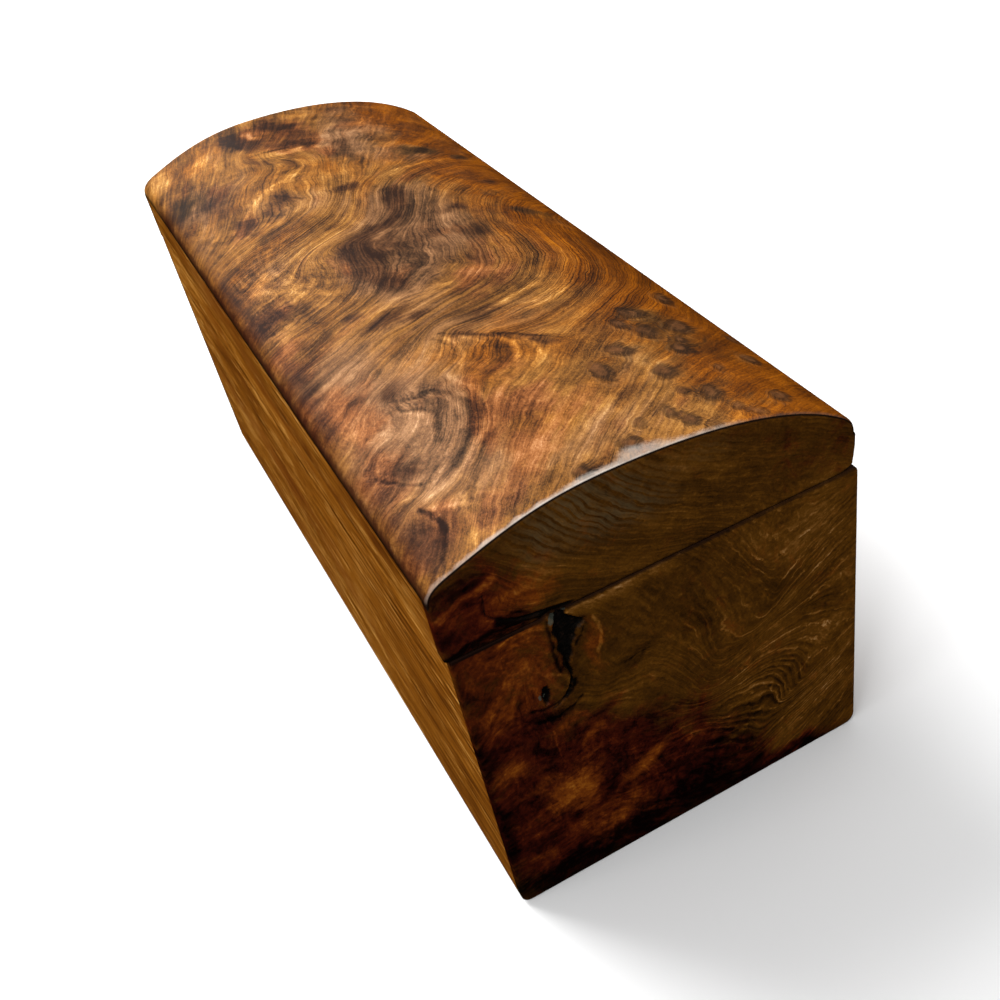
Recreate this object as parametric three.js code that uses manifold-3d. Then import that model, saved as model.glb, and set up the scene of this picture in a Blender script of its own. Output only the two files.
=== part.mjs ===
// Burl wood box with a domed lid, on two small brass butt hinges.
// Millimetres, +Z up, origin at the middle of the underside.
//   X  across the box: the front, which opens, is at -X and the hinges are at +X
//   Y  along the box: the near end is at -Y, the far end at +Y
import * as THREE from 'three';
import { mergeVertices } from 'three/addons/utils/BufferGeometryUtils.js';
import Module from 'manifold-3d';

// ---------------------------------------------------------------- driving dimensions
const BODY_W = 80.5; // outside width of the body
const BODY_L = 198.5; // outside length of the body
const SEAM_Z = 68.5; // height of the seam between body and lid
const LID_OVERHANG = 0.75; // the lid stands this far proud of the front
const LID_BACK_INSET = 0.5; // and this far inside the back
const LID_END_INSET = 0.5; // and this far inside each end
const LONG_T = 8; // front and back boards and lid rails
const END_T = 6; // end boards and lid end cores
const FACING_T = 2; // burl facing glued on each end
const FLOOR_T = 5; // bottom board
const RABBET = 4; // depth of the rabbets that the end boards sit in
const FLOOR_REBATE_END = 3; // how far the bottom board goes into the end boards
const SKIN_T = 2.5; // burl skin on the dome, mitred to the end facings
const DOME_T = 4; // curved board under the skin

const HINGE_Y = 60; // hinges are centred this far from the middle
const HINGE_INSET = 0.75; // pin axis, inside the body's back face
const LEAF_L = 20; // leaf length along the pin
const LEAF_REACH = 6.25; // leaf edge to pin axis
const LEAF_T = 0.75;
const KNUCKLE_R = 1.5;
const OUTER_KNUCKLE = 6; // length of each outer knuckle, on the body leaf
const KNUCKLE_GAP = 0.25;
const PIN_R = 0.75;
const LID_BORE_R = 0.84375; // running clearance on the lid leaf's knuckle
const BARREL_ROOM_R = 1.8125; // groove in the wood around the barrel
const RELIEF_IN = 3; // the lid's back lower edge slopes up from this far inboard of the axis,
const RELIEF_UP = 1; // by this much at the back
const SCREW_X = 4; // screws, inboard of the pin axis
const SCREW_Y = 6.5; // and to each side of the hinge's middle
const SCREW_L = 5;
const SCREW_HEAD_R = 1.25;
const SCREW_SHANK_R = 0.6875;

// Middle of the whole box, knuckles included, so that the origin is under its middle
const X_SHIFT = (LID_OVERHANG - (KNUCKLE_R - HINGE_INSET)) / 2;

// ---------------------------------------------------------------- small helpers
const q = (v) => Math.round(v * 64) / 64; // shared outlines lie on a 1/64 mm grid

const wasm = await Module();
wasm.setup();

function closed(geometry) {
  const g = geometry.index ? geometry.toNonIndexed() : geometry.clone();
  g.deleteAttribute('normal');
  g.deleteAttribute('uv');
  return mergeVertices(g, 1e-5);
}

function solid(geometry) {
  const g = closed(geometry);
  return new wasm.Manifold(new wasm.Mesh({
    numProp: 3,
    vertProperties: Float32Array.from(g.attributes.position.array),
    triVerts: Uint32Array.from(g.index.array),
  }));
}

function fromSolid(body) {
  const mesh = body.getMesh();
  const g = new THREE.BufferGeometry();
  const n = mesh.vertProperties.length / mesh.numProp;
  const p = new Float32Array(n * 3);
  for (let i = 0; i < n; i++) {
    for (let k = 0; k < 3; k++) p[3 * i + k] = mesh.vertProperties[i * mesh.numProp + k];
  }
  g.setAttribute('position', new THREE.BufferAttribute(p, 3));
  g.setIndex(new THREE.BufferAttribute(Uint32Array.from(mesh.triVerts), 1));
  const flat = g.toNonIndexed();
  flat.computeVertexNormals();
  return flat;
}

function cut(base, tools) {
  let s = solid(base);
  for (const t of tools) s = s.subtract(solid(t));
  return fromSolid(s);
}

// Rename the coordinates of an extruded shape: (a, b, depth) to a new (x, y, z)
function turned(geometry, map) {
  const p = geometry.attributes.position;
  for (let i = 0; i < p.count; i++) {
    const [x, y, z] = map(p.getX(i), p.getY(i), p.getZ(i));
    p.setXYZ(i, x, y, z);
  }
  geometry.computeVertexNormals();
  return geometry;
}

const shapeOf = (points) => new THREE.Shape(points.map(([a, b]) => new THREE.Vector2(a, b)));

// A section in X and Z, carried along Y from y0 to y1
function alongY(section, y0, y1) {
  const g = new THREE.ExtrudeGeometry(shapeOf(section), { depth: y1 - y0, bevelEnabled: false });
  return turned(g, (x, z, d) => [x, y1 - d, z]);
}

// A section in Y and Z, carried along X from x0 to x1
function alongX(section, x0, x1) {
  const g = new THREE.ExtrudeGeometry(shapeOf(section), { depth: x1 - x0, bevelEnabled: false });
  return turned(g, (y, z, d) => [x0 + d, y, z]);
}

function block(x0, x1, y0, y1, z0, z1) {
  const g = new THREE.BoxGeometry(x1 - x0, y1 - y0, z1 - z0);
  return g.translate((x0 + x1) / 2, (y0 + y1) / 2, (z0 + z1) / 2);
}

// A round bar along Y, centred on x, z
function barY(r, y0, y1, x, z, sides) {
  const g = new THREE.CylinderGeometry(r, r, y1 - y0, sides);
  return g.translate(x, (y0 + y1) / 2, z);
}

// ---------------------------------------------------------------- sections
const XL = -BODY_W / 2;
const XR = BODY_W / 2;
const LXL = XL - LID_OVERHANG;
const LXR = XR - LID_BACK_INSET;
const AXIS_X = XR - HINGE_INSET;

// Body outline, anticlockwise from the left end of the underside
function arcPoints(cx, cz, r, a0, a1, n) {
  const out = [];
  for (let i = 0; i <= n; i++) {
    const a = ((a0 + ((a1 - a0) * i) / n) * Math.PI) / 180;
    out.push([q(cx + r * Math.cos(a)), q(cz + r * Math.sin(a))]);
  }
  return out;
}
const FOOT_R_FRONT = 2;
const FOOT_R_BACK = 2.5;
const bodyFootFront = arcPoints(XL + FOOT_R_FRONT, FOOT_R_FRONT, FOOT_R_FRONT, 180, 270, 4);
const bodyFootBack = arcPoints(XR - FOOT_R_BACK, FOOT_R_BACK, FOOT_R_BACK, 270, 360, 4);
const bodySeamBack = [[XR, SEAM_Z - 1.25], [XR - 0.125, SEAM_Z - 0.625], [XR - 0.375, SEAM_Z - 0.125], [XR - 0.75, SEAM_Z]];
const bodySeamFront = [[XL + 0.75, SEAM_Z], [XL + 0.25, SEAM_Z - 0.25], [XL, SEAM_Z - 0.75]];
const bodyOutline = [...bodyFootFront, ...bodyFootBack, ...bodySeamBack, ...bodySeamFront];

// Dome line: two cubic curves that meet at the crown, which lies a little forward
const DOME_FRONT = [[LXL, 83.38], [-28.04, 88.3], [-21.03, 91.05], [-7.99, 91.05]];
const DOME_BACK = [[-7.99, 91.05], [4.78, 91.05], [27.05, 89.55], [LXR, 78.2]];
const lerp2 = (a, b, t) => [a[0] + (b[0] - a[0]) * t, a[1] + (b[1] - a[1]) * t];
function cubic(c, t) {
  const ab = lerp2(c[0], c[1], t);
  const bc = lerp2(c[1], c[2], t);
  const cd = lerp2(c[2], c[3], t);
  return lerp2(lerp2(ab, bc, t), lerp2(bc, cd, t), t);
}
const domeDense = [];
for (let i = 0; i <= 400; i++) domeDense.push(cubic(DOME_FRONT, i / 400));
for (let i = 1; i <= 400; i++) domeDense.push(cubic(DOME_BACK, i / 400));

// The dome line moved inwards by a thickness, and carried on straight past its ends
function domeInside(thickness) {
  const line = domeDense.map((p, i) => {
    const a = domeDense[Math.max(0, i - 1)];
    const b = domeDense[Math.min(domeDense.length - 1, i + 1)];
    const dx = b[0] - a[0];
    const dz = b[1] - a[1];
    const l = Math.hypot(dx, dz);
    return [p[0] + (dz / l) * thickness, p[1] - (dx / l) * thickness];
  });
  return (x) => {
    let i = 1;
    while (i < line.length - 1 && line[i][0] < x) i++;
    const [x0, z0] = line[i - 1];
    const [x1, z1] = line[i];
    return q(z0 + ((z1 - z0) * (x - x0)) / (x1 - x0));
  };
}
const zOut = domeInside(0);
const zMid = domeInside(SKIN_T);
const zIn = domeInside(SKIN_T + DOME_T);

// Stations across the dome that every layer shares
const L_RABBET = LXL + LONG_T - RABBET; // outer edge of the front rabbet
const L_INNER = LXL + LONG_T;
const R_RABBET = LXR - LONG_T + RABBET;
const R_INNER = LXR - LONG_T;
const stations = [LXL, L_RABBET, L_INNER, -28.5, -24, -19.5, -15, -10.5, -6, -1.5, 3, 7.5, 12, 16, 20, 24, 28,
  R_INNER, 34, R_RABBET, 37.75, LXR];
const between = (a, b) => stations.filter((x) => x >= a && x <= b);

// Softened corners where the dome meets the front and the back
function corner(a, c, b, n) {
  const out = [];
  for (let i = 0; i <= n; i++) {
    const t = i / n;
    const p = lerp2(lerp2(a, c, t), lerp2(c, b, t), t);
    out.push([q(p[0]), q(p[1])]);
  }
  return out;
}
const frontCorner = corner([L_RABBET, zOut(L_RABBET)], [LXL, zOut(LXL)], [LXL, zOut(LXL) - 2.625], 5);
const backCorner = corner([LXR, zOut(LXR) - 2.25], [LXR, zOut(LXR)], [38, zOut(38)], 4);
const domeTop = between(L_RABBET + 0.5, 37.875).reverse().map((x) => [x, zOut(x)]); // from back to front

const lidSeamFront = [[LXL, SEAM_Z + 0.75], [LXL + 0.25, SEAM_Z + 0.25], [LXL + 0.75, SEAM_Z]];
const lidSeamBack = [[AXIS_X - RELIEF_IN, SEAM_Z], [LXR - 1, SEAM_Z + RELIEF_UP - 0.25], [LXR - 0.5, SEAM_Z + RELIEF_UP + 0.25], [LXR, SEAM_Z + 5.5]];
const CROWN_Z = SEAM_Z + 5.75; // where the crown of the lid's end facings begins, clear of the glue line
const lidFoot = [...lidSeamFront, ...lidSeamBack, [LXR, CROWN_Z], [LXL, CROWN_Z]];

// ---------------------------------------------------------------- lengths along Y
const B_END = BODY_L / 2;
const B_CORE = B_END - FACING_T; // outer face of the end boards
const B_INNER = B_CORE - END_T; // inner face of the end boards
const L_END = B_END - LID_END_INSET;
const L_CORE = L_END - FACING_T;
const L_INNER_Y = L_CORE - END_T;

// ---------------------------------------------------------------- materials
const finish = (color, roughness, metalness = 0) => new THREE.MeshStandardMaterial({ color, roughness, metalness });
const burlTop = finish(0x94683c, 0.32);
const burlEnd = finish(0x5f3216, 0.34);
const plainWood = finish(0xb27a2a, 0.4);
const innerWood = finish(0xc08f55, 0.6);
const brass = finish(0xb8954a, 0.3, 1);

const group = new THREE.Group();
const body = new THREE.Group();
const lid = new THREE.Group();
body.position.x = X_SHIFT;
lid.position.x = X_SHIFT;
group.add(body, lid);

function piece(parent, name, geometry, material) {
  const m = new THREE.Mesh(geometry, material);
  m.name = name;
  parent.add(m);
  return m;
}

// ---------------------------------------------------------------- hinge room in the wood
const leafRoom = LEAF_L / 2;
function hingeRoom(side) {
  // what one hinge takes out of the back board (side -1) or of the lid's back rail (side +1)
  const tools = [];
  for (const hy of [-HINGE_Y, HINGE_Y]) {
    const z0 = side < 0 ? SEAM_Z - LEAF_T : SEAM_Z - 2;
    const z1 = side < 0 ? SEAM_Z + 2 : SEAM_Z + LEAF_T;
    tools.push(block(AXIS_X - LEAF_REACH, AXIS_X, hy - leafRoom, hy + leafRoom, z0, z1));
    tools.push(barY(BARREL_ROOM_R, hy - leafRoom - 0.25, hy + leafRoom + 0.25, AXIS_X, SEAM_Z, 24));
    for (const sy of [-SCREW_Y, SCREW_Y]) {
      const r = SCREW_SHANK_R + 0.125;
      const g = new THREE.CylinderGeometry(r, r, SCREW_L + 2, 12);
      const t = turned(g, (a, b, c) => [a, -c, b]);
      t.translate(AXIS_X - SCREW_X, hy + sy, SEAM_Z + side * ((SCREW_L + 2) / 2 - 1.875));
      tools.push(t);
    }
  }
  return tools;
}

// ---------------------------------------------------------------- body
const frontBoardSection = [
  ...bodyFootFront, [XL + RABBET, 0], [XL + RABBET, FLOOR_T], [XL + LONG_T, FLOOR_T], [XL + LONG_T, SEAM_Z], ...bodySeamFront,
];
const backBoardSection = [
  [XR - RABBET, 0], ...bodyFootBack, ...bodySeamBack, [XR - LONG_T, SEAM_Z], [XR - LONG_T, FLOOR_T], [XR - RABBET, FLOOR_T],
];
const endRabbets = (x0, x1, inner, outer) => [
  block(x0, x1, inner, outer + 1, -1, 100),
  block(x0, x1, -outer - 1, -inner, -1, 100),
];
piece(body, 'front_board', cut(alongY(frontBoardSection, -B_CORE, B_CORE), endRabbets(XL + RABBET, XL + LONG_T + 1, B_INNER, B_CORE)), plainWood);
piece(body, 'back_board', cut(alongY(backBoardSection, -B_CORE, B_CORE), [
  ...endRabbets(XR - LONG_T - 1, XR - RABBET, B_INNER, B_CORE),
  ...hingeRoom(-1),
]), plainWood);

const floorHalf = B_INNER + FLOOR_REBATE_END;
const endBoardSection = (s) => {
  const pts = [[s * floorHalf, 0], [s * B_CORE, 0], [s * B_CORE, SEAM_Z], [s * B_INNER, SEAM_Z], [s * B_INNER, FLOOR_T], [s * floorHalf, FLOOR_T]];
  return s > 0 ? pts : pts.reverse();
};
piece(body, 'near_end_board', alongX(endBoardSection(-1), XL + RABBET, XR - RABBET), innerWood);
piece(body, 'far_end_board', alongX(endBoardSection(1), XL + RABBET, XR - RABBET), innerWood);
piece(body, 'bottom_board', block(XL + RABBET, XR - RABBET, -floorHalf, floorHalf, 0, FLOOR_T), innerWood);

// Burl facings on the ends, flat sheets with the end's outline
const facing = (outline, y0, y1) => alongY(outline, Math.min(y0, y1), Math.max(y0, y1));

// A bark pocket that drops from the seam in the near end's burl
const pocketOutline = [[-23.5, 70], [-23.5, 64.5], [-22.25, 60], [-22.5, 56.5], [-21.5, 53], [-20, 52.25], [-19.25, 54], [-20, 57.5], [-18.5, 62], [-16.75, 66], [-16.5, 70]];
const pocket = alongY(pocketOutline.slice().reverse(), -B_END - 1, -B_END + 1.25);

piece(body, 'near_end_burl', cut(facing(bodyOutline, -B_CORE, -B_END), [pocket]), burlEnd);
piece(body, 'far_end_burl', facing(bodyOutline, B_CORE, B_END), burlEnd);

// ---------------------------------------------------------------- lid
const frontRailSection = [
  ...lidSeamFront, [L_INNER, SEAM_Z], [L_INNER, zIn(L_INNER)], [L_RABBET, zIn(L_RABBET)],
  ...between(LXL, L_RABBET).reverse().map((x) => [x, zMid(x)]),
];
const backRailSection = [
  [R_INNER, SEAM_Z], ...lidSeamBack,
  ...between(R_RABBET, LXR).reverse().map((x) => [x, zMid(x)]),
  ...between(R_INNER, R_RABBET).reverse().map((x) => [x, zIn(x)]),
];
piece(lid, 'lid_front_rail', cut(alongY(frontRailSection, -L_CORE, L_CORE), endRabbets(L_RABBET, L_INNER + 1, L_INNER_Y, L_CORE)), plainWood);
piece(lid, 'lid_back_rail', cut(alongY(backRailSection, -L_CORE, L_CORE), [
  ...endRabbets(R_INNER - 1, R_RABBET, L_INNER_Y, L_CORE),
  ...hingeRoom(1),
]), plainWood);

const endCoreSection = [[L_RABBET, SEAM_Z], [R_RABBET, SEAM_Z], ...between(L_RABBET, R_RABBET).reverse().map((x) => [x, zIn(x)])];
piece(lid, 'lid_near_end_core', alongY(endCoreSection, -L_CORE, -L_INNER_Y), innerWood);
piece(lid, 'lid_far_end_core', alongY(endCoreSection, L_INNER_Y, L_CORE), innerWood);

const domeSection = [
  ...between(L_RABBET, R_RABBET).map((x) => [x, zIn(x)]),
  ...between(L_RABBET, R_RABBET).reverse().map((x) => [x, zMid(x)]),
];
piece(lid, 'lid_dome_board', alongY(domeSection, -L_CORE, L_CORE), innerWood);

const skinSection = [
  ...between(LXL, LXR).map((x) => [x, zMid(x)]), ...backCorner, ...domeTop, ...frontCorner,
];

// The crown of an end facing (side -1 near, +1 far). Its outer face reaches the dome line and its
// back face stops under the skin, so that skin and facing meet in a mitre along the whole arch.
function crown(side) {
  const line = [...frontCorner.slice().reverse(), ...domeTop.slice().reverse(), ...backCorner.slice().reverse()];
  const n = line.length - 1;
  const under = (x) => {
    const i = Math.max(1, stations.findIndex((v) => v >= x));
    const [x0, x1] = [stations[i - 1], stations[i]];
    return zMid(x0) + ((zMid(x1) - zMid(x0)) * (x - x0)) / (x1 - x0);
  };
  return turned(new THREE.BoxGeometry(1, 1, 1, n, 1, 1), (a, b, c) => {
    const [x, z] = line[Math.round((a + 0.5) * n)];
    const y = side < 0 ? (c > 0 ? -L_END : -L_CORE) : (c > 0 ? L_CORE : L_END);
    const outer = Math.abs(y) > L_CORE;
    return [x, y, b < 0 ? CROWN_Z : outer ? z : under(x)];
  });
}
const lidFacing = (side) => fromSolid(solid(facing(lidFoot, side * L_CORE, side * L_END)).add(solid(crown(side))));

piece(lid, 'lid_top_burl', cut(alongY(skinSection, -L_END, L_END), [crown(-1), crown(1)]), burlTop);
piece(lid, 'lid_near_end_burl', lidFacing(-1), burlEnd);
piece(lid, 'lid_far_end_burl', lidFacing(1), burlEnd);

// ---------------------------------------------------------------- hinges
function hinge(tag, y) {
  const onBody = new THREE.Group();
  const onLid = new THREE.Group();
  onBody.position.set(AXIS_X, y, SEAM_Z);
  onLid.position.set(AXIS_X, y, SEAM_Z);
  body.add(onBody);
  lid.add(onLid);

  const half = LEAF_L / 2;
  const inner = half - OUTER_KNUCKLE; // the centre knuckle lies between -inner and +inner
  const clear = KNUCKLE_R + KNUCKLE_GAP;

  // side -1 is the leaf on the body, with the two outer knuckles; +1 the leaf on the lid
  const leaf = (side) => {
    const zA = side < 0 ? -LEAF_T : 0;
    const zB = side < 0 ? 0 : LEAF_T;
    let s = solid(block(-LEAF_REACH, -clear, -half, half, zA, zB));
    const ranges = side < 0 ? [[-half, -inner], [inner, half]] : [[-inner + KNUCKLE_GAP, inner - KNUCKLE_GAP]];
    for (const [y0, y1] of ranges) {
      s = s.add(solid(block(-clear - 0.5, 0, y0, y1, zA, zB)));
      s = s.add(solid(barY(KNUCKLE_R, y0, y1, 0, 0, 24)));
    }
    s = s.subtract(solid(barY(side < 0 ? PIN_R : LID_BORE_R, -half - 1, half + 1, 0, 0, 16)));
    for (const sy of [-SCREW_Y, SCREW_Y]) {
      // countersunk hole, wide at the seam face
      const cone = new THREE.CylinderGeometry(SCREW_HEAD_R + 0.25, SCREW_SHANK_R + 0.125, LEAF_T + 0.25, 16);
      const t = side < 0
        ? turned(cone, (a, b, c) => [a, -c, b])
        : turned(cone, (a, b, c) => [a, c, -b]);
      t.translate(-SCREW_X, sy, side < 0 ? (0.125 - (LEAF_T + 0.125)) / 2 : (LEAF_T + 0.125 - 0.125) / 2);
      s = s.subtract(solid(t));
    }
    return fromSolid(s);
  };
  piece(onBody, `hinge_${tag}_body_leaf`, leaf(-1), brass);
  piece(onLid, `hinge_${tag}_lid_leaf`, leaf(1), brass);

  const pin = piece(onBody, `hinge_${tag}_pin`, barY(PIN_R, -half, half, 0, 0, 16), brass);
  pin.position.set(0, 0, 0);

  // Countersunk screws: head, neck, shank and point turned about the screw's own axis
  const profile = [
    [0, 0], [SCREW_HEAD_R, 0], [SCREW_HEAD_R, -0.0625], [SCREW_SHANK_R, -0.625], [SCREW_SHANK_R, -(SCREW_L - 1.25)], [0, -SCREW_L + 0.25],
  ].reverse().map(([r, z]) => new THREE.Vector2(r, z));
  const screwGeometry = () => {
    const g = new THREE.LatheGeometry(profile, 12);
    return turned(g, (a, b, c) => [a, -c, b]);
  };
  let n = 1;
  for (const sy of [-SCREW_Y, SCREW_Y]) {
    const down = piece(onBody, `screw_${tag}_body_${n}`, screwGeometry(), brass);
    down.position.set(-SCREW_X, sy, -0.125);
    const up = piece(onLid, `screw_${tag}_lid_${n}`, screwGeometry(), brass);
    up.rotation.x = Math.PI;
    up.position.set(-SCREW_X, sy, 0.125);
    n++;
  }
}
hinge('near', -HINGE_Y);
hinge('far', HINGE_Y);

export default group;
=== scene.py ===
"""Burl wood box with a domed lid: finish, fine meshes, floor, light and camera.

Lengths in the profile and figure code are millimetres in the part's own frame; metres go to Blender.
"""
import math

import bmesh
import bpy
import numpy as np
from mathutils import Matrix, Vector


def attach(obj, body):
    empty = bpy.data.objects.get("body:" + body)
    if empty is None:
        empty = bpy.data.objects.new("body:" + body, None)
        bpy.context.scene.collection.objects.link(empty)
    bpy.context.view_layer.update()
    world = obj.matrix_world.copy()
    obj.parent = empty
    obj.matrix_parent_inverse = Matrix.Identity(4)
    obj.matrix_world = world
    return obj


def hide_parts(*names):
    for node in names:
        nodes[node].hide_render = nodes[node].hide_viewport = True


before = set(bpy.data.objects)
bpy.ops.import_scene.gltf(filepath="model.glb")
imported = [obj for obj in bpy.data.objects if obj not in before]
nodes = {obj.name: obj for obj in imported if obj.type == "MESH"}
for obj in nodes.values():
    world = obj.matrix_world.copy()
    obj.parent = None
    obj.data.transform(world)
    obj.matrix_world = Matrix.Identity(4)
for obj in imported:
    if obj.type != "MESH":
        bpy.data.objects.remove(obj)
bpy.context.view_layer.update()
scene = bpy.context.scene

# ---------------------------------------------------------------- camera
cam_data = bpy.data.cameras.new("camera")
cam_data.sensor_width = 36.0
cam_data.lens = 42.476
cam_data.shift_x = -0.0984
cam_data.shift_y = 0.0570
cam_data.clip_start = 0.01
cam_data.clip_end = 20.0
cam = bpy.data.objects.new("camera", cam_data)
scene.collection.objects.link(cam)
eye_at = Vector((-0.067378, -0.231100, 0.199728))
look_at = Vector((0.010966, -0.044428, 0.024000))
fwd = (look_at - eye_at).normalized()
right = fwd.cross(Vector((0, 0, 1))).normalized()
up = right.cross(fwd)
roll = -0.1734
right2 = math.cos(roll) * right + math.sin(roll) * up
up2 = -math.sin(roll) * right + math.cos(roll) * up
m = Matrix((
    (right2.x, up2.x, -fwd.x, eye_at.x),
    (right2.y, up2.y, -fwd.y, eye_at.y),
    (right2.z, up2.z, -fwd.z, eye_at.z),
    (0, 0, 0, 1),
))
cam.matrix_world = m
scene.camera = cam

# ---------------------------------------------------------------- sizes, in mm
XL, XR = -40.25, 40.25
LXL, LXR = -41.0, 39.75
SEAM = 68.5
AXIS_X = 39.5
B_END, L_END = 99.25, 99.05
B_CORE, L_CORE = 97.25, 96.75
B_INNER, L_INNER = 91.25, 90.75
SKIN_T, DOME_T = 2.5, 4.0
FOOT_F, FOOT_B = 2.0, 2.5
ARCH_R = 0.9  # rounding of the arch edges, where skin and facings meet in a mitre


def arc(cx, cz, r, a0, a1, n):
    a = np.radians(np.linspace(a0, a1, n + 1))
    return np.c_[cx + r * np.cos(a), cz + r * np.sin(a)]


def cubic(c, n):
    c = np.array(c, float)
    t = np.linspace(0, 1, n + 1)[:, None]
    return (1 - t) ** 3 * c[0] + 3 * (1 - t) ** 2 * t * c[1] + 3 * (1 - t) * t * t * c[2] + t ** 3 * c[3]


def quad(a, c, b, n):
    a, c, b = np.array(a, float), np.array(c, float), np.array(b, float)
    t = np.linspace(0, 1, n + 1)[:, None]
    return (1 - t) ** 2 * a + 2 * (1 - t) * t * c + t * t * b


DOME = np.vstack([
    cubic([[LXL, 83.38], [-28.04, 88.3], [-21.03, 91.05], [-7.99, 91.05]], 400),
    cubic([[-7.99, 91.05], [4.78, 91.05], [27.05, 89.55], [LXR, 78.2]], 400)[1:],
])


def dome_z(x, inside=0.0):
    """Height of the dome line moved inwards, at x."""
    g = np.gradient(DOME, axis=0)
    g /= np.linalg.norm(g, axis=1)[:, None]
    line = DOME + np.c_[g[:, 1], -g[:, 0]] * inside
    x = np.atleast_1d(np.asarray(x, float))
    z = np.interp(x, line[:, 0], line[:, 1])
    lo, hi = line[0], line[-1]
    s_lo = (line[1, 1] - line[0, 1]) / (line[1, 0] - line[0, 0])
    s_hi = (line[-1, 1] - line[-2, 1]) / (line[-1, 0] - line[-2, 0])
    z = np.where(x < lo[0], lo[1] + s_lo * (x - lo[0]), z)
    z = np.where(x > hi[0], hi[1] + s_hi * (x - hi[0]), z)
    return z


def resample(p, step):
    """Points along an open line, about step apart."""
    p = np.asarray(p, float)
    d = np.r_[0, np.cumsum(np.linalg.norm(np.diff(p, axis=0), axis=1))]
    n = max(2, int(round(d[-1] / step)) + 1)
    s = np.linspace(0, d[-1], n)
    return np.c_[np.interp(s, d, p[:, 0]), np.interp(s, d, p[:, 1])]


# the dome with its softened corners, from the front edge to the back edge
inner_dome = DOME[(DOME[:, 0] > -37.0) & (DOME[:, 0] < 38.0)]
DOME_SOFT = np.vstack([
    quad([LXL, 83.38 - 2.6], [LXL, 83.38], [-37.0, dome_z(-37.0)[0]], 16)[:-1],
    inner_dome,
    quad([38.0, dome_z(38.0)[0]], [LXR, 78.2], [LXR, 78.2 - 2.25], 16)[1:],
])


def inwards(line, off):
    """An open line (front to back over the dome) moved to its inner side."""
    line = np.asarray(line, float)
    g = np.gradient(line, axis=0)
    g /= np.linalg.norm(g, axis=1)[:, None] + 1e-12
    return line + np.c_[g[:, 1], -g[:, 0]] * off


# ---------------------------------------------------------------- mesh helpers
def new_mesh(name, verts_mm, faces, smooth=True, sharp_deg=32.0):
    me = bpy.data.meshes.new(name)
    me.from_pydata((np.asarray(verts_mm, float) * 0.001).tolist(), [], faces)
    me.validate(clean_customdata=False)
    me.update()
    ob = bpy.data.objects.new(name, me)
    scene.collection.objects.link(ob)
    if smooth:
        shade(ob, sharp_deg)
    return ob


def shade(ob, sharp_deg=32.0):
    me = ob.data
    me.polygons.foreach_set("use_smooth", [True] * len(me.polygons))
    me.set_sharp_from_angle(angle=math.radians(sharp_deg))
    me.update()


def add_attr(ob, name, values):
    a = ob.data.attributes.new(name, "FLOAT", "POINT")
    a.data.foreach_set("value", np.asarray(values, np.float32))


def add_vec(ob, name, values):
    a = ob.data.attributes.new(name, "FLOAT_VECTOR", "POINT")
    a.data.foreach_set("vector", np.asarray(values, np.float32).ravel())


def sweep(name, section, ys, **kw):
    """A closed section in X and Z (anticlockwise from -Y), carried along Y through the stations ys, with flat ends."""
    section = np.asarray(section, float)
    n, k = len(section), len(ys)
    v = np.zeros((k, n, 3))
    v[:, :, 0] = section[None, :, 0]
    v[:, :, 1] = np.asarray(ys, float)[:, None]
    v[:, :, 2] = section[None, :, 1]
    faces = []
    for j in range(k - 1):
        a = j * n
        for i in range(n):
            i2 = (i + 1) % n
            faces.append((a + i, a + i2, a + n + i2, a + n + i))
    faces.append(tuple(reversed(range(n))))
    faces.append(tuple((k - 1) * n + i for i in range(n)))
    ob = new_mesh(name, v.reshape(-1, 3), faces, **kw)
    fix_normals(ob)
    return ob


def fix_normals(ob):
    bm = bmesh.new()
    bm.from_mesh(ob.data)
    bmesh.ops.recalc_face_normals(bm, faces=bm.faces)
    bm.to_mesh(ob.data)
    bm.free()


def block(name, x0, x1, y0, y1, z0, z1):
    """A plain block, used only to cut with."""
    s = [(x0, z0), (x1, z0), (x1, z1), (x0, z1)]
    return sweep(name, s, [y0, y1], smooth=False)


def bar(name, cx, cz, r, y0, y1, n=48):
    return sweep(name, arc(cx, cz, r, 0, 360, n)[:-1], [y0, y1], smooth=False)


def post(name, cx, cy, z0, z1, r0, r1, n=32):
    """A round or tapered upright bar, used only to cut with."""
    a = np.linspace(0, 2 * math.pi, n, endpoint=False)
    v = [(cx + r0 * math.cos(t), cy + r0 * math.sin(t), z0) for t in a]
    v += [(cx + r1 * math.cos(t), cy + r1 * math.sin(t), z1) for t in a]
    f = [(i, (i + 1) % n, n + (i + 1) % n, n + i) for i in range(n)]
    f += [tuple(reversed(range(n))), tuple(range(n, 2 * n))]
    ob = new_mesh(name, v, f, smooth=False)
    fix_normals(ob)
    return ob


def carve(ob, cutters, sharp_deg=32.0):
    for c in cutters:
        mod = ob.modifiers.new("cut", "BOOLEAN")
        mod.operation = "DIFFERENCE"
        mod.solver = "EXACT"
        mod.object = c
        dg = bpy.context.evaluated_depsgraph_get()
        me = bpy.data.meshes.new_from_object(ob.evaluated_get(dg), depsgraph=dg)
        ob.modifiers.remove(mod)
        old = ob.data
        ob.data = me
        bpy.data.meshes.remove(old)
    for c in cutters:
        me = c.data
        bpy.data.objects.remove(c)
        bpy.data.meshes.remove(me)
    shade(ob, sharp_deg)
    return ob


def graded(a, b, step, fine, reach, extra=()):
    """Stations from a to b: fine steps within reach of each end, step apart elsewhere. extra is (low, high, step) stretches."""
    t = [a]
    x = a
    while x < b - 1e-9:
        near = min(x - a, b - x)
        h = fine + (step - fine) * min(1.0, max(0.0, near - reach * 0.5) / reach)
        for lo, hi, s in extra:
            if lo <= x < hi:
                h = min(h, s)
        x += h
        t.append(x)
    t = np.array(t)
    return a + (t - a) * (b - a) / (t[-1] - a)


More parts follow.
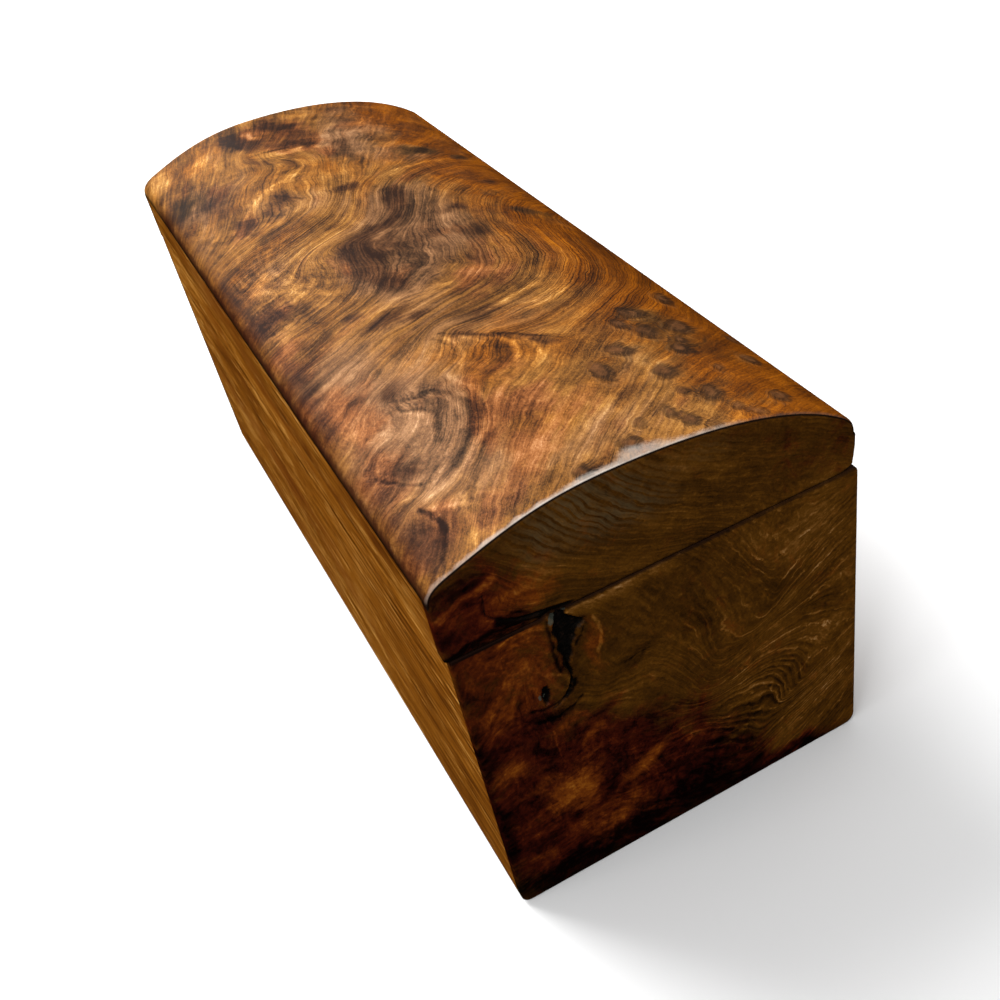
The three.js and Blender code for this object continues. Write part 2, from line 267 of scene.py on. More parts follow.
def seg_dist(px, pz, line):
    """Distance of each point to an open line of points."""
    best = np.full(px.shape, 1e9)
    for (ax, az), (bx, bz) in zip(line[:-1], line[1:]):
        dx, dz = bx - ax, bz - az
        l2 = dx * dx + dz * dz + 1e-12
        t = np.clip(((px - ax) * dx + (pz - az) * dz) / l2, 0, 1)
        best = np.minimum(best, np.hypot(px - ax - t * dx, pz - az - t * dz))
    return best


def edge_drop(d, r):
    """How far a quarter-round edge of radius r lies back, at distance d from the outline."""
    k = np.clip(r - d, 0, r)
    return r - np.sqrt(np.maximum(r * r - k * k, 0))


# ---------------------------------------------------------------- outlines
def body_lo(x):
    x = np.asarray(x, float)
    z = np.zeros_like(x)
    a, b = XL + FOOT_F, XR - FOOT_B
    z = np.where(x < a, FOOT_F - np.sqrt(np.maximum(FOOT_F ** 2 - (x - a) ** 2, 0)), z)
    return np.where(x > b, FOOT_B - np.sqrt(np.maximum(FOOT_B ** 2 - (x - b) ** 2, 0)), z)


BODY_BACK_TOP = [(XR, SEAM - 1.25), (XR - 0.04, SEAM - 0.9), (XR - 0.13, SEAM - 0.6), (XR - 0.24, SEAM - 0.33), (XR - 0.42, SEAM - 0.13), (XR - 0.8, SEAM)]
LID_BACK_LOW = [(AXIS_X - 3.0, SEAM), (LXR - 1.0, SEAM + 0.75), (LXR - 0.72, SEAM + 0.9), (LXR - 0.55, SEAM + 1.2), (LXR - 0.35, SEAM + 2.4), (LXR - 0.12, SEAM + 4.0), (LXR, SEAM + 5.5)]


def body_hi(x):
    x = np.asarray(x, float)
    z = np.full_like(x, SEAM)
    z = np.where(x < XL + 0.75, SEAM - 0.75 + np.sqrt(np.maximum(0.5625 - (x - XL - 0.75) ** 2, 0)), z)
    t = np.array(BODY_BACK_TOP)[::-1]
    return np.where(x > t[0, 0], np.interp(x, t[:, 0], t[:, 1]), z)


def lid_lo(x):
    x = np.asarray(x, float)
    z = np.full_like(x, SEAM)
    z = np.where(x < LXL + 0.75, SEAM + 0.75 - np.sqrt(np.maximum(0.5625 - (x - LXL - 0.75) ** 2, 0)), z)
    t = np.array(LID_BACK_LOW)
    return np.where(x > t[0, 0], np.interp(x, t[:, 0], t[:, 1]), z)


JOINT_LINE = inwards(DOME_SOFT, ARCH_R * (1 - math.sqrt(0.5)))  # where the mitre comes out, half way round the edge


def lid_hi(x):
    return np.interp(np.asarray(x, float), JOINT_LINE[:, 0], JOINT_LINE[:, 1])


def under_skin(x):
    return dome_z(np.clip(x, LXL, LXR), SKIN_T)


def end_plate(name, x0, x1, lo, hi, y_back, y_face, edges, step=0.55, extra_x=(), extra_z=(), relief=None, mitre=False):
    """A flat facing that fills an outline. Its outer face is a fine grid, so that its edges can be rounded and its hollows sunk.
    edges is [(line, radius)]; relief(x, z) is how far the face lies back there."""
    xs = graded(x0, x1, step, 0.14, 2.2, extra_x)
    tall = float(np.median(hi(xs) - lo(xs)))
    w_ref = graded(0.0, 1.0, step / tall, 0.14 / tall, 2.2 / tall, [((a - SEAM + tall) / tall, (b - SEAM + tall) / tall, s / tall) for a, b, s in extra_z])
    z_lo, z_hi = lo(xs), hi(xs)
    X = np.repeat(xs[:, None], len(w_ref), 1)
    Z = z_lo[:, None] + (z_hi - z_lo)[:, None] * w_ref[None, :]
    side = 1.0 if y_face > y_back else -1.0
    back = np.zeros_like(X)
    for line, r in edges:
        back = np.maximum(back, edge_drop(seg_dist(X, Z, line), r))
    if relief is not None:
        back = np.maximum(back, relief(X, Z))
    Y = y_face - side * back
    nx, nz = X.shape
    front = np.stack([X, Y, Z], -1).reshape(-1, 3)
    idx = np.arange(nx * nz).reshape(nx, nz)
    loop = np.r_[idx[:, 0], idx[-1, 1:], idx[::-1, -1][1:], idx[0, ::-1][1:-1]]
    rim = front[loop].copy()
    rim[:, 1] = y_back
    if mitre:
        rim[:, 2] = np.minimum(rim[:, 2], under_skin(rim[:, 0]))
    verts = np.vstack([front, rim])
    a, b, c, d = idx[:-1, :-1].ravel(), idx[1:, :-1].ravel(), idx[1:, 1:].ravel(), idx[:-1, 1:].ravel()
    faces = np.c_[a, b, c, d].tolist()
    n = len(loop)
    base = nx * nz
    faces += [(int(loop[i]), int(base + i), int(base + (i + 1) % n), int(loop[(i + 1) % n])) for i in range(n)]
    faces.append(tuple(int(base + i) for i in range(n)))
    ob = new_mesh(name, verts, [tuple(f) for f in faces], sharp_deg=50)
    fix_normals(ob)
    return ob


def coords_mm(ob):
    co = np.zeros(len(ob.data.vertices) * 3, np.float32)
    ob.data.vertices.foreach_get("co", co)
    return co.reshape(-1, 3).astype(float) * 1000.0


# ---------------------------------------------------------------- burl figure
# Growth lines are drawn as strokes, and a field that rises by one across each unit is fitted to them.
# Top: column runs front to back over the dome, row runs from the far end to the near end, 6.25 rows to the mm.
TOP_STROKES = [
    # near-left loop
    [(25,1128),(50,1143),(80,1157),(105,1147),(130,1125),(148,1105),(158,1080),(172,1045),(176,1010)],
    [(70,1145),(92,1141),(120,1128),(145,1100),(155,1065),(163,1030),(165,1000)],
    [(72,1120),(95,1105),(120,1080),(138,1050),(147,1015),(146,985)],
    [(72,1100),(95,1086),(112,1067),(124,1040),(127,1010),(120,985)],
    [(85,1045),(97,1038),(106,1020),(108,1000),(102,980)],
    [(48,1030),(70,1035),(88,1020),(90,995),(78,975)],
    # lower left corner
    [(8,1215),(25,1212),(42,1196),(50,1170),(45,1150)],
    [(30,1245),(46,1224),(58,1200),(62,1178),(72,1160)],
    [(70,1250),(95,1210),(125,1170),(150,1135),(172,1105),(190,1075)],
    [(110,1250),(150,1196),(185,1155),(215,1120),(250,1085),(278,1060)],
    [(150,1250),(190,1208),(235,1165),(280,1125),(320,1080),(352,1045)],
    [(195,1250),(240,1208),(290,1165),(335,1120),(375,1080),(420,1050),(455,1020)],
    [(250,1250),(300,1200),(350,1165),(400,1138),(450,1112),(505,1085)],
    [(330,1250),(375,1215),(420,1185),(470,1160),(515,1135)],
    [(420,1252),(460,1220),(515,1190)],
    # between the loop and the bowl
    [(178,1060),(205,1045),(235,1032),(262,1010),(270,985)],
    [(200,1100),(225,1072),(252,1050),(276,1030),(292,1005)],
    [(165,1010),(190,1003),(215,985),(232,960),(238,935)],
    [(165,975),(185,968),(200,950),(208,925)],
    [(150,950),(165,935),(178,915),(182,900)],
    [(300,1050),(325,1020),(345,995),(372,965),(405,935),(440,900),(470,860),(490,815)],
    [(345,1060),(370,1030),(400,1000),(435,965),(470,925),(500,880)],
    [(400,1060),(430,1030),(465,990),(500,950)],
    # the bowl
    [(232,935),(262,945),(300,945),(345,925),(385,892),(418,850),(436,800),(441,750),(446,700),(455,655)],
    [(280,965),(310,968),(350,950),(390,918),(430,875),(455,825),(467,770),(474,715),(484,665)],
    [(225,905),(265,905),(310,890),(350,868),(385,835),(410,795),(420,750),(424,700),(430,650)],
    [(215,880),(255,888),(300,872),(340,850),(368,815),(388,775),(395,735),(396,700),(398,660)],
    [(205,862),(250,862),(292,850),(325,830),(350,795),(365,755),(372,715),(374,680)],
    [(235,838),(270,832),(300,815),(325,785),(340,750),(348,715)],
    [(225,820),(255,812),(285,795),(305,765),(313,735),(315,700)],
    [(225,790),(255,780),(280,755),(293,720),(297,680),(297,640),(305,600),(322,560)],
    [(225,760),(250,745),(268,715),(276,680),(280,640),(292,600),(310,560)],
    [(215,735),(235,715),(250,685),(258,650),(268,610)],
    # right of the bowl, up along the back
    [(318,640),(322,600),(334,560),(352,522),(378,485),(410,455),(450,430),(500,405)],
    [(345,650),(350,610),(362,570),(382,530),(410,495),(445,468),(490,445)],
    [(395,640),(402,600),(420,562),(448,530),(485,500),(515,485)],
    [(430,650),(445,610),(470,575),(505,545)],
    [(490,780),(500,730),(510,680)],
    [(470,1010),(495,970),(515,930)],
    # the light ridge and the lines along it
    [(225,560),(245,535),(255,500),(268,460),(288,428),(325,402),(375,382),(425,357),(475,335),(515,318)],
    [(250,575),(275,552),(295,515),(308,478),(325,445),(355,420),(400,398),(450,378),(510,355)],
    [(285,590),(305,560),(320,525),(335,490),(360,455),(400,425),(450,402),(510,380)],
    [(225,605),(262,603),(290,588),(312,556),(330,520)],
    [(175,560),(205,548),(228,525),(243,492),(255,455),(270,425),(300,398),(340,385)],
    # left field, lines that run level and turn up beside the ridge
    [(0,520),(50,505),(100,520),(150,516),(190,500),(216,472),(235,440),(245,405),(258,375)],
    [(0,500),(50,478),(100,495),(150,490),(190,478),(212,450),(226,418),(232,380),(240,345)],
    [(0,470),(45,445),(90,450),(140,462),(178,455),(200,428),(212,395),(220,350),(235,320)],
    [(0,550),(50,545),(100,548),(150,540),(195,528),(222,505),(240,470),(250,430)],
    [(60,585),(100,585),(120,562),(145,552),(185,548)],
    [(105,640),(118,605),(140,580),(175,572),(205,575)],
    # the enclosed field with cross sheen
    [(20,690),(60,690),(100,700),(130,695),(148,670),(155,635),(153,600)],
    [(0,715),(45,715),(90,730),(125,725),(152,700),(165,665),(168,625),(166,598)],
    [(0,750),(50,748),(90,752),(130,750),(160,730),(178,695),(182,650),(182,610)],
    [(20,650),(60,640),(100,660),(125,655),(135,630),(132,605)],
    [(0,620),(40,612),(80,622),(105,615)],
    # level lines left of the two knots
    [(0,775),(40,780),(75,776),(100,765),(140,765),(175,745),(195,710),(200,665)],
    [(0,800),(50,800),(100,796),(150,788),(190,765),(210,735)],
    [(0,825),(40,818),(80,827),(115,815),(150,795)],
    [(0,850),(50,845),(100,848),(140,838),(160,842)],
    [(0,880),(50,872),(100,872),(140,862),(180,862)],
    [(200,800),(225,806),(250,800)],
    [(0,910),(50,905),(100,898),(145,888),(190,868),(225,852)],
    [(0,945),(40,940),(80,925),(120,925),(150,905)],
    [(0,985),(30,990),(50,975),(90,950),(130,945)],
    [(0,1030),(25,1022),(45,1000),(60,975)],
    [(0,1075),(20,1068),(35,1050),(42,1030)],
    [(0,1115),(20,1108),(35,1085),(38,1065)],
    # far field
    [(0,430),(40,410),(75,385),(95,350),(110,315),(125,280)],
    [(0,395),(35,375),(60,345),(78,310),(95,270)],
    [(0,350),(30,330),(50,300),(62,260),(75,225)],
    [(0,300),(25,280),(45,240),(60,200)],
    [(0,250),(25,225),(45,190),(62,150),(80,110),(95,70),(105,30)],
    [(75,165),(92,125),(108,90),(120,50),(128,20)],
    [(90,230),(110,195),(128,150),(142,110),(155,70),(165,30)],
    [(95,440),(120,425),(135,395),(140,355),(150,310),(165,280)],
    [(150,440),(165,415),(158,385),(150,355),(160,320),(180,290)],
    [(178,430),(190,405),(186,375),(175,345),(185,310),(200,285)],
    [(110,290),(130,268),(150,262),(170,240),(178,215),(172,190)],
    [(205,320),(222,295),(228,270),(220,248),(200,230),(188,205),(195,175)],
    [(225,340),(245,300),(248,265),(240,235),(235,215)],
    [(170,150),(190,120),(205,85),(215,45)],
    [(200,180),(225,150),(245,115),(262,80),(275,40)],
    [(265,380),(270,330),(285,290),(300,255),(310,215),(305,180)],
    [(255,215),(275,185),(290,150),(310,115),(330,80),(345,40)],
    [(300,390),(310,345),(325,300),(345,260),(365,225),(385,190),(400,150)],
    [(340,360),(360,315),(385,280),(410,250),(435,220),(455,180),(470,130)],
    [(330,190),(350,150),(372,110),(390,70),(400,30)],
    [(400,330),(430,295),(460,260),(485,220),(505,180)],
    [(420,140),(440,100),(455,60),(465,25)],
    [(460,310),(490,280),(515,250)],
]

# Near end: 6.25 to the mm, seam at row 171.5
END_STROKES = [
    # lid
    [(30,118),(55,102),(85,97),(95,115),(92,135),(105,150),(150,160)],
    [(100,55),(120,90),(150,120),(190,150),(230,168)],
    [(140,45),(165,85),(200,120),(250,150),(300,165)],
    [(180,38),(205,75),(245,110),(300,138),(360,160)],
    [(230,35),(255,65),(300,95),(360,118),(420,145),(460,165)],
    [(290,33),(320,60),(370,85),(430,112),(490,145),(515,165)],
    [(350,40),(400,65),(460,95),(520,130)],
    # body, upper left, round the void
    [(25,250),(45,215),(70,190),(100,178),(128,185),(140,205),(146,240)],
    [(25,300),(55,250),(85,215),(110,215),(125,240),(135,265),(150,285)],
    [(150,180),(172,195),(188,215),(192,240),(184,262),(188,290)],
    [(25,345),(60,310),(95,295),(120,302),(150,290),(165,300),(200,300),(230,285)],
    [(200,180),(220,205),(235,240),(240,275),(260,300)],
    [(250,180),(270,210),(285,245),(300,290),(300,330),(310,370)],
    [(300,180),(320,200),(333,230),(345,265),(350,300),(355,330)],
    [(345,180),(358,205),(365,230),(385,255),(400,290),(395,320)],
    [(385,350),(400,330),(432,300),(470,272),(516,246)],
    [(425,255),(445,238),(480,214),(520,192)],
    [(430,345),(460,322),(520,290)],
    # hooks
    [(300,400),(340,408),(395,396),(430,412),(447,440),(440,462)],
    [(320,425),(372,416),(400,410),(424,425),(434,455),(425,475)],
    [(330,445),(370,432),(395,432),(412,447),(418,470),(410,485)],
    [(300,455),(335,475),(375,497)],
    [(285,480),(320,490),(350,505),(372,520)],
    [(270,510),(300,515),(340,535),(365,545)],
    [(340,350),(390,345),(440,342),(480,360),(505,390)],
    [(350,385),(400,370),(445,372),(475,390),(490,415)],
    # the folded side
    [(395,500),(430,482),(470,458),(510,425)],
    [(370,545),(400,525),(440,500),(480,480),(520,450)],
    [(380,575),(420,550),(460,530),(520,490)],
    [(440,590),(480,565),(520,530)],
    # lower left
    [(25,385),(50,355),(75,350),(100,370),(130,375),(160,360)],
    [(25,420),(60,412),(100,415),(150,395),(180,385),(220,395),(250,400)],
    [(25,460),(60,452),(100,450),(150,440),(165,420),(200,410),(240,425)],
    [(25,500),(60,498),(100,495),(150,490),(190,480),(215,475),(250,455),(290,440)],
    [(25,540),(60,535),(110,525),(150,510),(180,520),(200,545),(230,560)],
    [(25,575),(80,560),(130,555),(180,575)],
    [(175,352),(195,375),(220,392),(250,410),(280,420)],
    [(170,320),(200,318),(240,310),(270,330),(290,370),(300,395)],
]


def samples(strokes, step, up):
    """Points along the strokes and the uphill direction there; up is +1 or -1."""
    P, N = [], []
    for s in strokes:
        s = np.array(s, float)
        for _ in range(2):  # cut the corners
            a = s[:-1] * 0.75 + s[1:] * 0.25
            b = s[:-1] * 0.25 + s[1:] * 0.75
            s = np.vstack([s[:1], np.stack([a, b], 1).reshape(-1, 2), s[-1:]])
        d = np.r_[0, np.cumsum(np.hypot(*np.diff(s, axis=0).T))]
        q = np.linspace(0, d[-1], max(2, int(d[-1] / step) + 1))
        p = np.c_[np.interp(q, d, s[:, 0]), np.interp(q, d, s[:, 1])]
        t = np.gradient(p, axis=0)
        t /= np.linalg.norm(t, axis=1)[:, None]
        P.append(p)
        N.append(np.c_[-t[:, 1], t[:, 0]] * up)
    return np.vstack(P), np.vstack(N)


def poisson(gx, gy):
    """The field whose slope is nearest to gx (between columns) and gy (between rows), with free edges."""
    ny, nx = gx.shape[0], gy.shape[1]
    div = np.zeros((ny, nx))
    div[:, :-1] += gx
    div[:, 1:] -= gx
    div[:-1] += gy
    div[1:] -= gy
    e = np.block([[div, div[:, ::-1]], [div[::-1], div[::-1, ::-1]]])
    F = np.fft.fft2(e)
    kx = 2 * np.cos(2 * np.pi * np.arange(2 * nx) / (2 * nx)) - 2
    ky = 2 * np.cos(2 * np.pi * np.arange(2 * ny) / (2 * ny)) - 2
    K = ky[:, None] + kx[None]
    K[0, 0] = 1
    F = F / K
    F[0, 0] = 0
    return np.real(np.fft.ifft2(F))[:ny, :nx]


def fit(n, pitch, rounds, lo, hi):
    m = np.ones(n.shape[:2])
    for _ in range(rounds):
        g = n * m[..., None]
        phi = poisson((g[:, :-1, 0] + g[:, 1:, 0]) * 0.5 * pitch, (g[:-1, :, 1] + g[1:, :, 1]) * 0.5 * pitch)
        gy, gx = np.gradient(phi, pitch)
        m = 0.5 * m + 0.5 * np.clip(gx * n[..., 0] + gy * n[..., 1], lo, hi)
    return phi


class Figure:
    """Growth field (phi, across the lines) and its partner (along, down the lines) on a grid."""

    def __init__(self, strokes, up, c0, c1, r0, r1, pitch, power=2.0, soft=9.0, lo=0.5, hi=1.9):
        P, N = samples(strokes, 8.0, up)
        self.c = np.arange(c0, c1 + pitch, pitch, dtype=float)
        self.r = np.arange(r0, r1 + pitch, pitch, dtype=float)
        self.pitch = pitch
        X, Y = np.meshgrid(self.c, self.r)
        A = np.zeros(X.shape + (2,))
        W = np.zeros(X.shape)
        for p, n in zip(P, N):
            w = 1.0 / ((X - p[0]) ** 2 + (Y - p[1]) ** 2 + soft ** 2) ** power
            W += w
            A += w[..., None] * n
        n = A / W[..., None]
        n /= np.linalg.norm(n, axis=-1)[..., None] + 1e-6
        self.phi = fit(n, pitch, 22, lo, hi)
        self.along = fit(np.stack([n[..., 1], -n[..., 0]], -1), pitch, 10, 0.3, 1.6)

    def at(self, grid, c, r):
        u = np.clip((c - self.c[0]) / self.pitch, 0, len(self.c) - 1.001)
        v = np.clip((r - self.r[0]) / self.pitch, 0, len(self.r) - 1.001)
        i, j = u.astype(int), v.astype(int)
        a, b = u - i, v - j
        g = grid
        return g[j, i] * (1 - a) * (1 - b) + g[j, i + 1] * a * (1 - b) + g[j + 1, i] * (1 - a) * b + g[j + 1, i + 1] * a * b


def lattice(c, r, size, seed):
    """Smooth random heights between -1 and 1, with hills of about the given size."""
    n = 64
    g = np.random.default_rng(seed).uniform(-1, 1, (n, n))
    u, v = c / size + 7.3, r / size + 3.1
    i, j = np.floor(u).astype(int), np.floor(v).astype(int)
    s, t = u - i, v - j
    s, t = s * s * (3 - 2 * s), t * t * (3 - 2 * t)
    near = g[i % n, j % n] * (1 - s) + g[(i + 1) % n, j % n] * s
    far = g[i % n, (j + 1) % n] * (1 - s) + g[(i + 1) % n, (j + 1) % n] * s
    return near * (1 - t) + far * t


def wander(c, r, size, amount, seed):
    """The same places pushed about, so that what is drawn there gets an uneven outline."""
    dc, dr = np.zeros_like(c), np.zeros_like(r)
    for k in range(3):
        dc += lattice(c, r, size / 2.1 ** k, seed + 2 * k) * amount / 1.6 ** k
        dr += lattice(c, r, size / 2.1 ** k, seed + 2 * k + 1) * amount / 1.6 ** k
    return c + dc, r + dr


def spots(c, r, marks):
    """Sum of soft spots (column, row, half width, half height, lean in degrees, strength)."""
    out = np.zeros_like(c)
    for cc, rr, a, b, lean, k in marks:
        t = math.radians(lean)
        dx, dy = c - cc, r - rr
        u = dx * math.cos(t) + dy * math.sin(t)
        v = -dx * math.sin(t) + dy * math.cos(t)
        q = (u / a) ** 2 + (v / b) ** 2
        out += k * np.exp(-0.7 * q ** 1.35)
    return out


def lines(c, r, marks):
    """Nearness to drawn lines (points, half width, strength): strength on a line, 0 at twice its half width."""
    out = np.zeros_like(c)
    for pts, w, k in marks:
        s = np.array(pts, float)
        for _ in range(2):
            a = s[:-1] * 0.75 + s[1:] * 0.25
            b = s[:-1] * 0.25 + s[1:] * 0.75
            s = np.vstack([s[:1], np.stack([a, b], 1).reshape(-1, 2), s[-1:]])
        box = (c > s[:, 0].min() - 2.5 * w) & (c < s[:, 0].max() + 2.5 * w) & (r > s[:, 1].min() - 2.5 * w) & (r < s[:, 1].max() + 2.5 * w)
        if box.any():
            d = seg_dist(c[box], r[box], s)
            out[box] = np.maximum(out[box], k * np.clip(1 - d / (2 * w), 0, 1))
    return out


# tones of the top, as drawn: darker smoke, lighter wood, gold, pink
TOP_SMOKE = [
    (60, 150, 60, 90, 0, 0.3), (260, 650, 90, 120, 0, 0.3), (20, 1000, 24, 200, 0, 0.45), (60, 560, 60, 90, 0, 0.2), (20, 500, 18, 200, 0, 0.3),
    (163, 74, 13, 24, -25, 1.2), (178, 124, 16, 18, 0, 0.8), (240, 74, 15, 32, -28, 1.2), (263, 100, 18, 12, 20, 0.7), (258, 165, 18, 34, 8, 0.8), (263, 200, 9, 10, 0, 0.7),
    (206, 158, 22, 14, 20, 0.6), (24, 205, 28, 42, 0, 0.7), (188, 218, 8, 30, -32, 0.9), (222, 262, 7, 26, 5, 0.6), (100, 394, 17, 22, 0, 0.9), (172, 378, 12, 26, -28, 0.9),
    (140, 388, 7, 26, 6, 0.6), (253, 416, 14, 16, 0, 0.9), (300, 232, 14, 22, 0, 0.6), (301, 288, 11, 20, -15, 0.9), (398, 316, 26, 20, -10, 0.7), (458, 350, 14, 11, 0, 1.2),
    (480, 312, 18, 16, 0, 0.6), (86, 256, 16, 18, 20, 0.7), (72, 300, 12, 26, 10, 0.5), (36, 352, 12, 9, 0, 0.6), (120, 60, 10, 30, 14, 0.5), (340, 60, 18, 26, 30, 0.5),
    (300, 486, 12, 22, 10, 0.9), (284, 524, 12, 18, 10, 0.8), (32, 655, 26, 26, 0, 0.9), (153, 826, 22, 13, 0, 0.8), (188, 840, 14, 9, 0, 0.6), (124, 783, 12, 7, 0, 0.8),
    (197, 730, 11, 18, 0, 0.6), (185, 758, 10, 10, 0, 0.5), (342, 664, 18, 24, 8, 0.7), (356, 574, 14, 12, 0, 0.9), (440, 604, 15, 13, 0, 1.0), (421, 538, 12, 12, 0, 0.8), (460, 470, 12, 8, 0, 0.7),
    (70, 930, 14, 12, 0, 0.6), (102, 958, 20, 14, 0, 0.6), (255, 893, 20, 12, -10, 0.8), (272, 985, 20, 7, 42, 0.8), (232, 945, 20, 7, 42, 0.6), (206, 915, 14, 6, 42, 0.6),
    (28, 1180, 22, 30, 0, 0.8), (26, 1225, 18, 18, 0, 0.6), (60, 1092, 10, 20, -30, 0.7), (300, 1140, 34, 14, -40, 0.5), (330, 585, 12, 10, 0, 0.5), (300, 600, 5, 50, 0, 0.3), (310, 760, 12, 26, 0, 0.5),
    (55, 770, 40, 10, 4, 0.5), (20, 850, 16, 40, 0, 0.5), (480, 640, 14, 40, 0, 0.5), (400, 640, 20, 40, 0, 0.35), (430, 440, 30, 20, 0, 0.5), (380, 430, 26, 14, -20, 0.5),
    (192, 612, 26, 28, 0, 1.5), (184, 655, 23, 36, 5, 1.5), (188, 700, 17, 26, 0, 1.1), (194, 742, 14, 20, 0, 0.8), (238, 572, 40, 14, -32, 1.1), (250, 412, 16, 15, 0, 0.9),
    (292, 498, 16, 26, 20, 0.9), (278, 530, 18, 16, -40, 0.8), (215, 152, 62, 17, 48, 0.5), (85, 265, 22, 34, 0, 0.5), (105, 402, 18, 38, 0, 0.6), (32, 655, 32, 34, 0, 0.55), (290, 265, 14, 44, 20, 0.5), (345, 655, 16, 26, 10, 0.5), (320, 740, 16, 22, 10, 0.45),
    (165, 817, 25, 12, -12, 1.0), (190, 840, 15, 10, 0, 0.8), (120, 782, 14, 8, 0, 0.7), (72, 920, 12, 10, 0, 0.6),
    (100, 964, 17, 13, 0, 0.7), (155, 378, 13, 42, 20, 0.75), (165, 87, 14, 28, 25, 0.6), (190, 122, 22, 19, 0, 0.55),
    (245, 67, 16, 30, 25, 0.5), (30, 215, 28, 42, 0, 0.55), (395, 312, 32, 24, -20, 0.65), (457, 347, 22, 17, -20, 0.6),
    (455, 476, 14, 10, 0, 0.6), (355, 576, 16, 12, 0, 0.45), (370, 602, 13, 12, 0, 0.4), (440, 612, 14, 18, 0, 0.6),
    (435, 522, 13, 12, 0, 0.4), (110, 620, 10, 16, 20, 0.5), (240, 585, 18, 12, -15, 0.6), (60, 690, 40, 12, 4, 0.3),
    (40, 830, 50, 40, 0, 0.35), (100, 880, 60, 16, -5, 0.3), (232, 640, 14, 34, 15, 0.55), (236, 870, 26, 22, 0, 0.3),
    (140, 1010, 34, 40, 20, 0.35), (40, 1205, 26, 26, 0, 0.55), (28, 1130, 18, 46, 0, 0.4), (60, 1088, 22, 16, 0, 0.4),
    (290, 830, 34, 12, -25, 0.28), (330, 985, 34, 10, -35, 0.3), (365, 235, 20, 40, 25, 0.45), (430, 190, 20, 46, 25, 0.5),
    (350, 95, 18, 42, 25, 0.5), (60, 90, 16, 44, 15, 0.45), (300, 155, 22, 20, 0, 0.35), (225, 265, 10, 30, 0, 0.35),
    (480, 250, 22, 60, 20, 0.45), (490, 500, 18, 60, 10, 0.3), (500, 720, 14, 60, 8, 0.3), (120, 250, 18, 34, 20, 0.4),
    (20, 560, 18, 60, 0, 0.25), (200, 500, 40, 12, -15, 0.22), (475, 120, 18, 60, 15, 0.45), (90, 330, 20, 34, 20, 0.25),
    (252, 480, 8, 40, 12, 0.3), (210, 930, 12, 40, 20, 0.3), (398, 1008, 26, 22, -20, 0.3), (330, 1075, 26, 20, -20, 0.25), (255, 690, 60, 90, 10, 0.30), (60, 590, 70, 60, 0, 0.2), (110, 720, 60, 40, 0, 0.25), (290, 560, 40, 50, 20, 0.25),
]
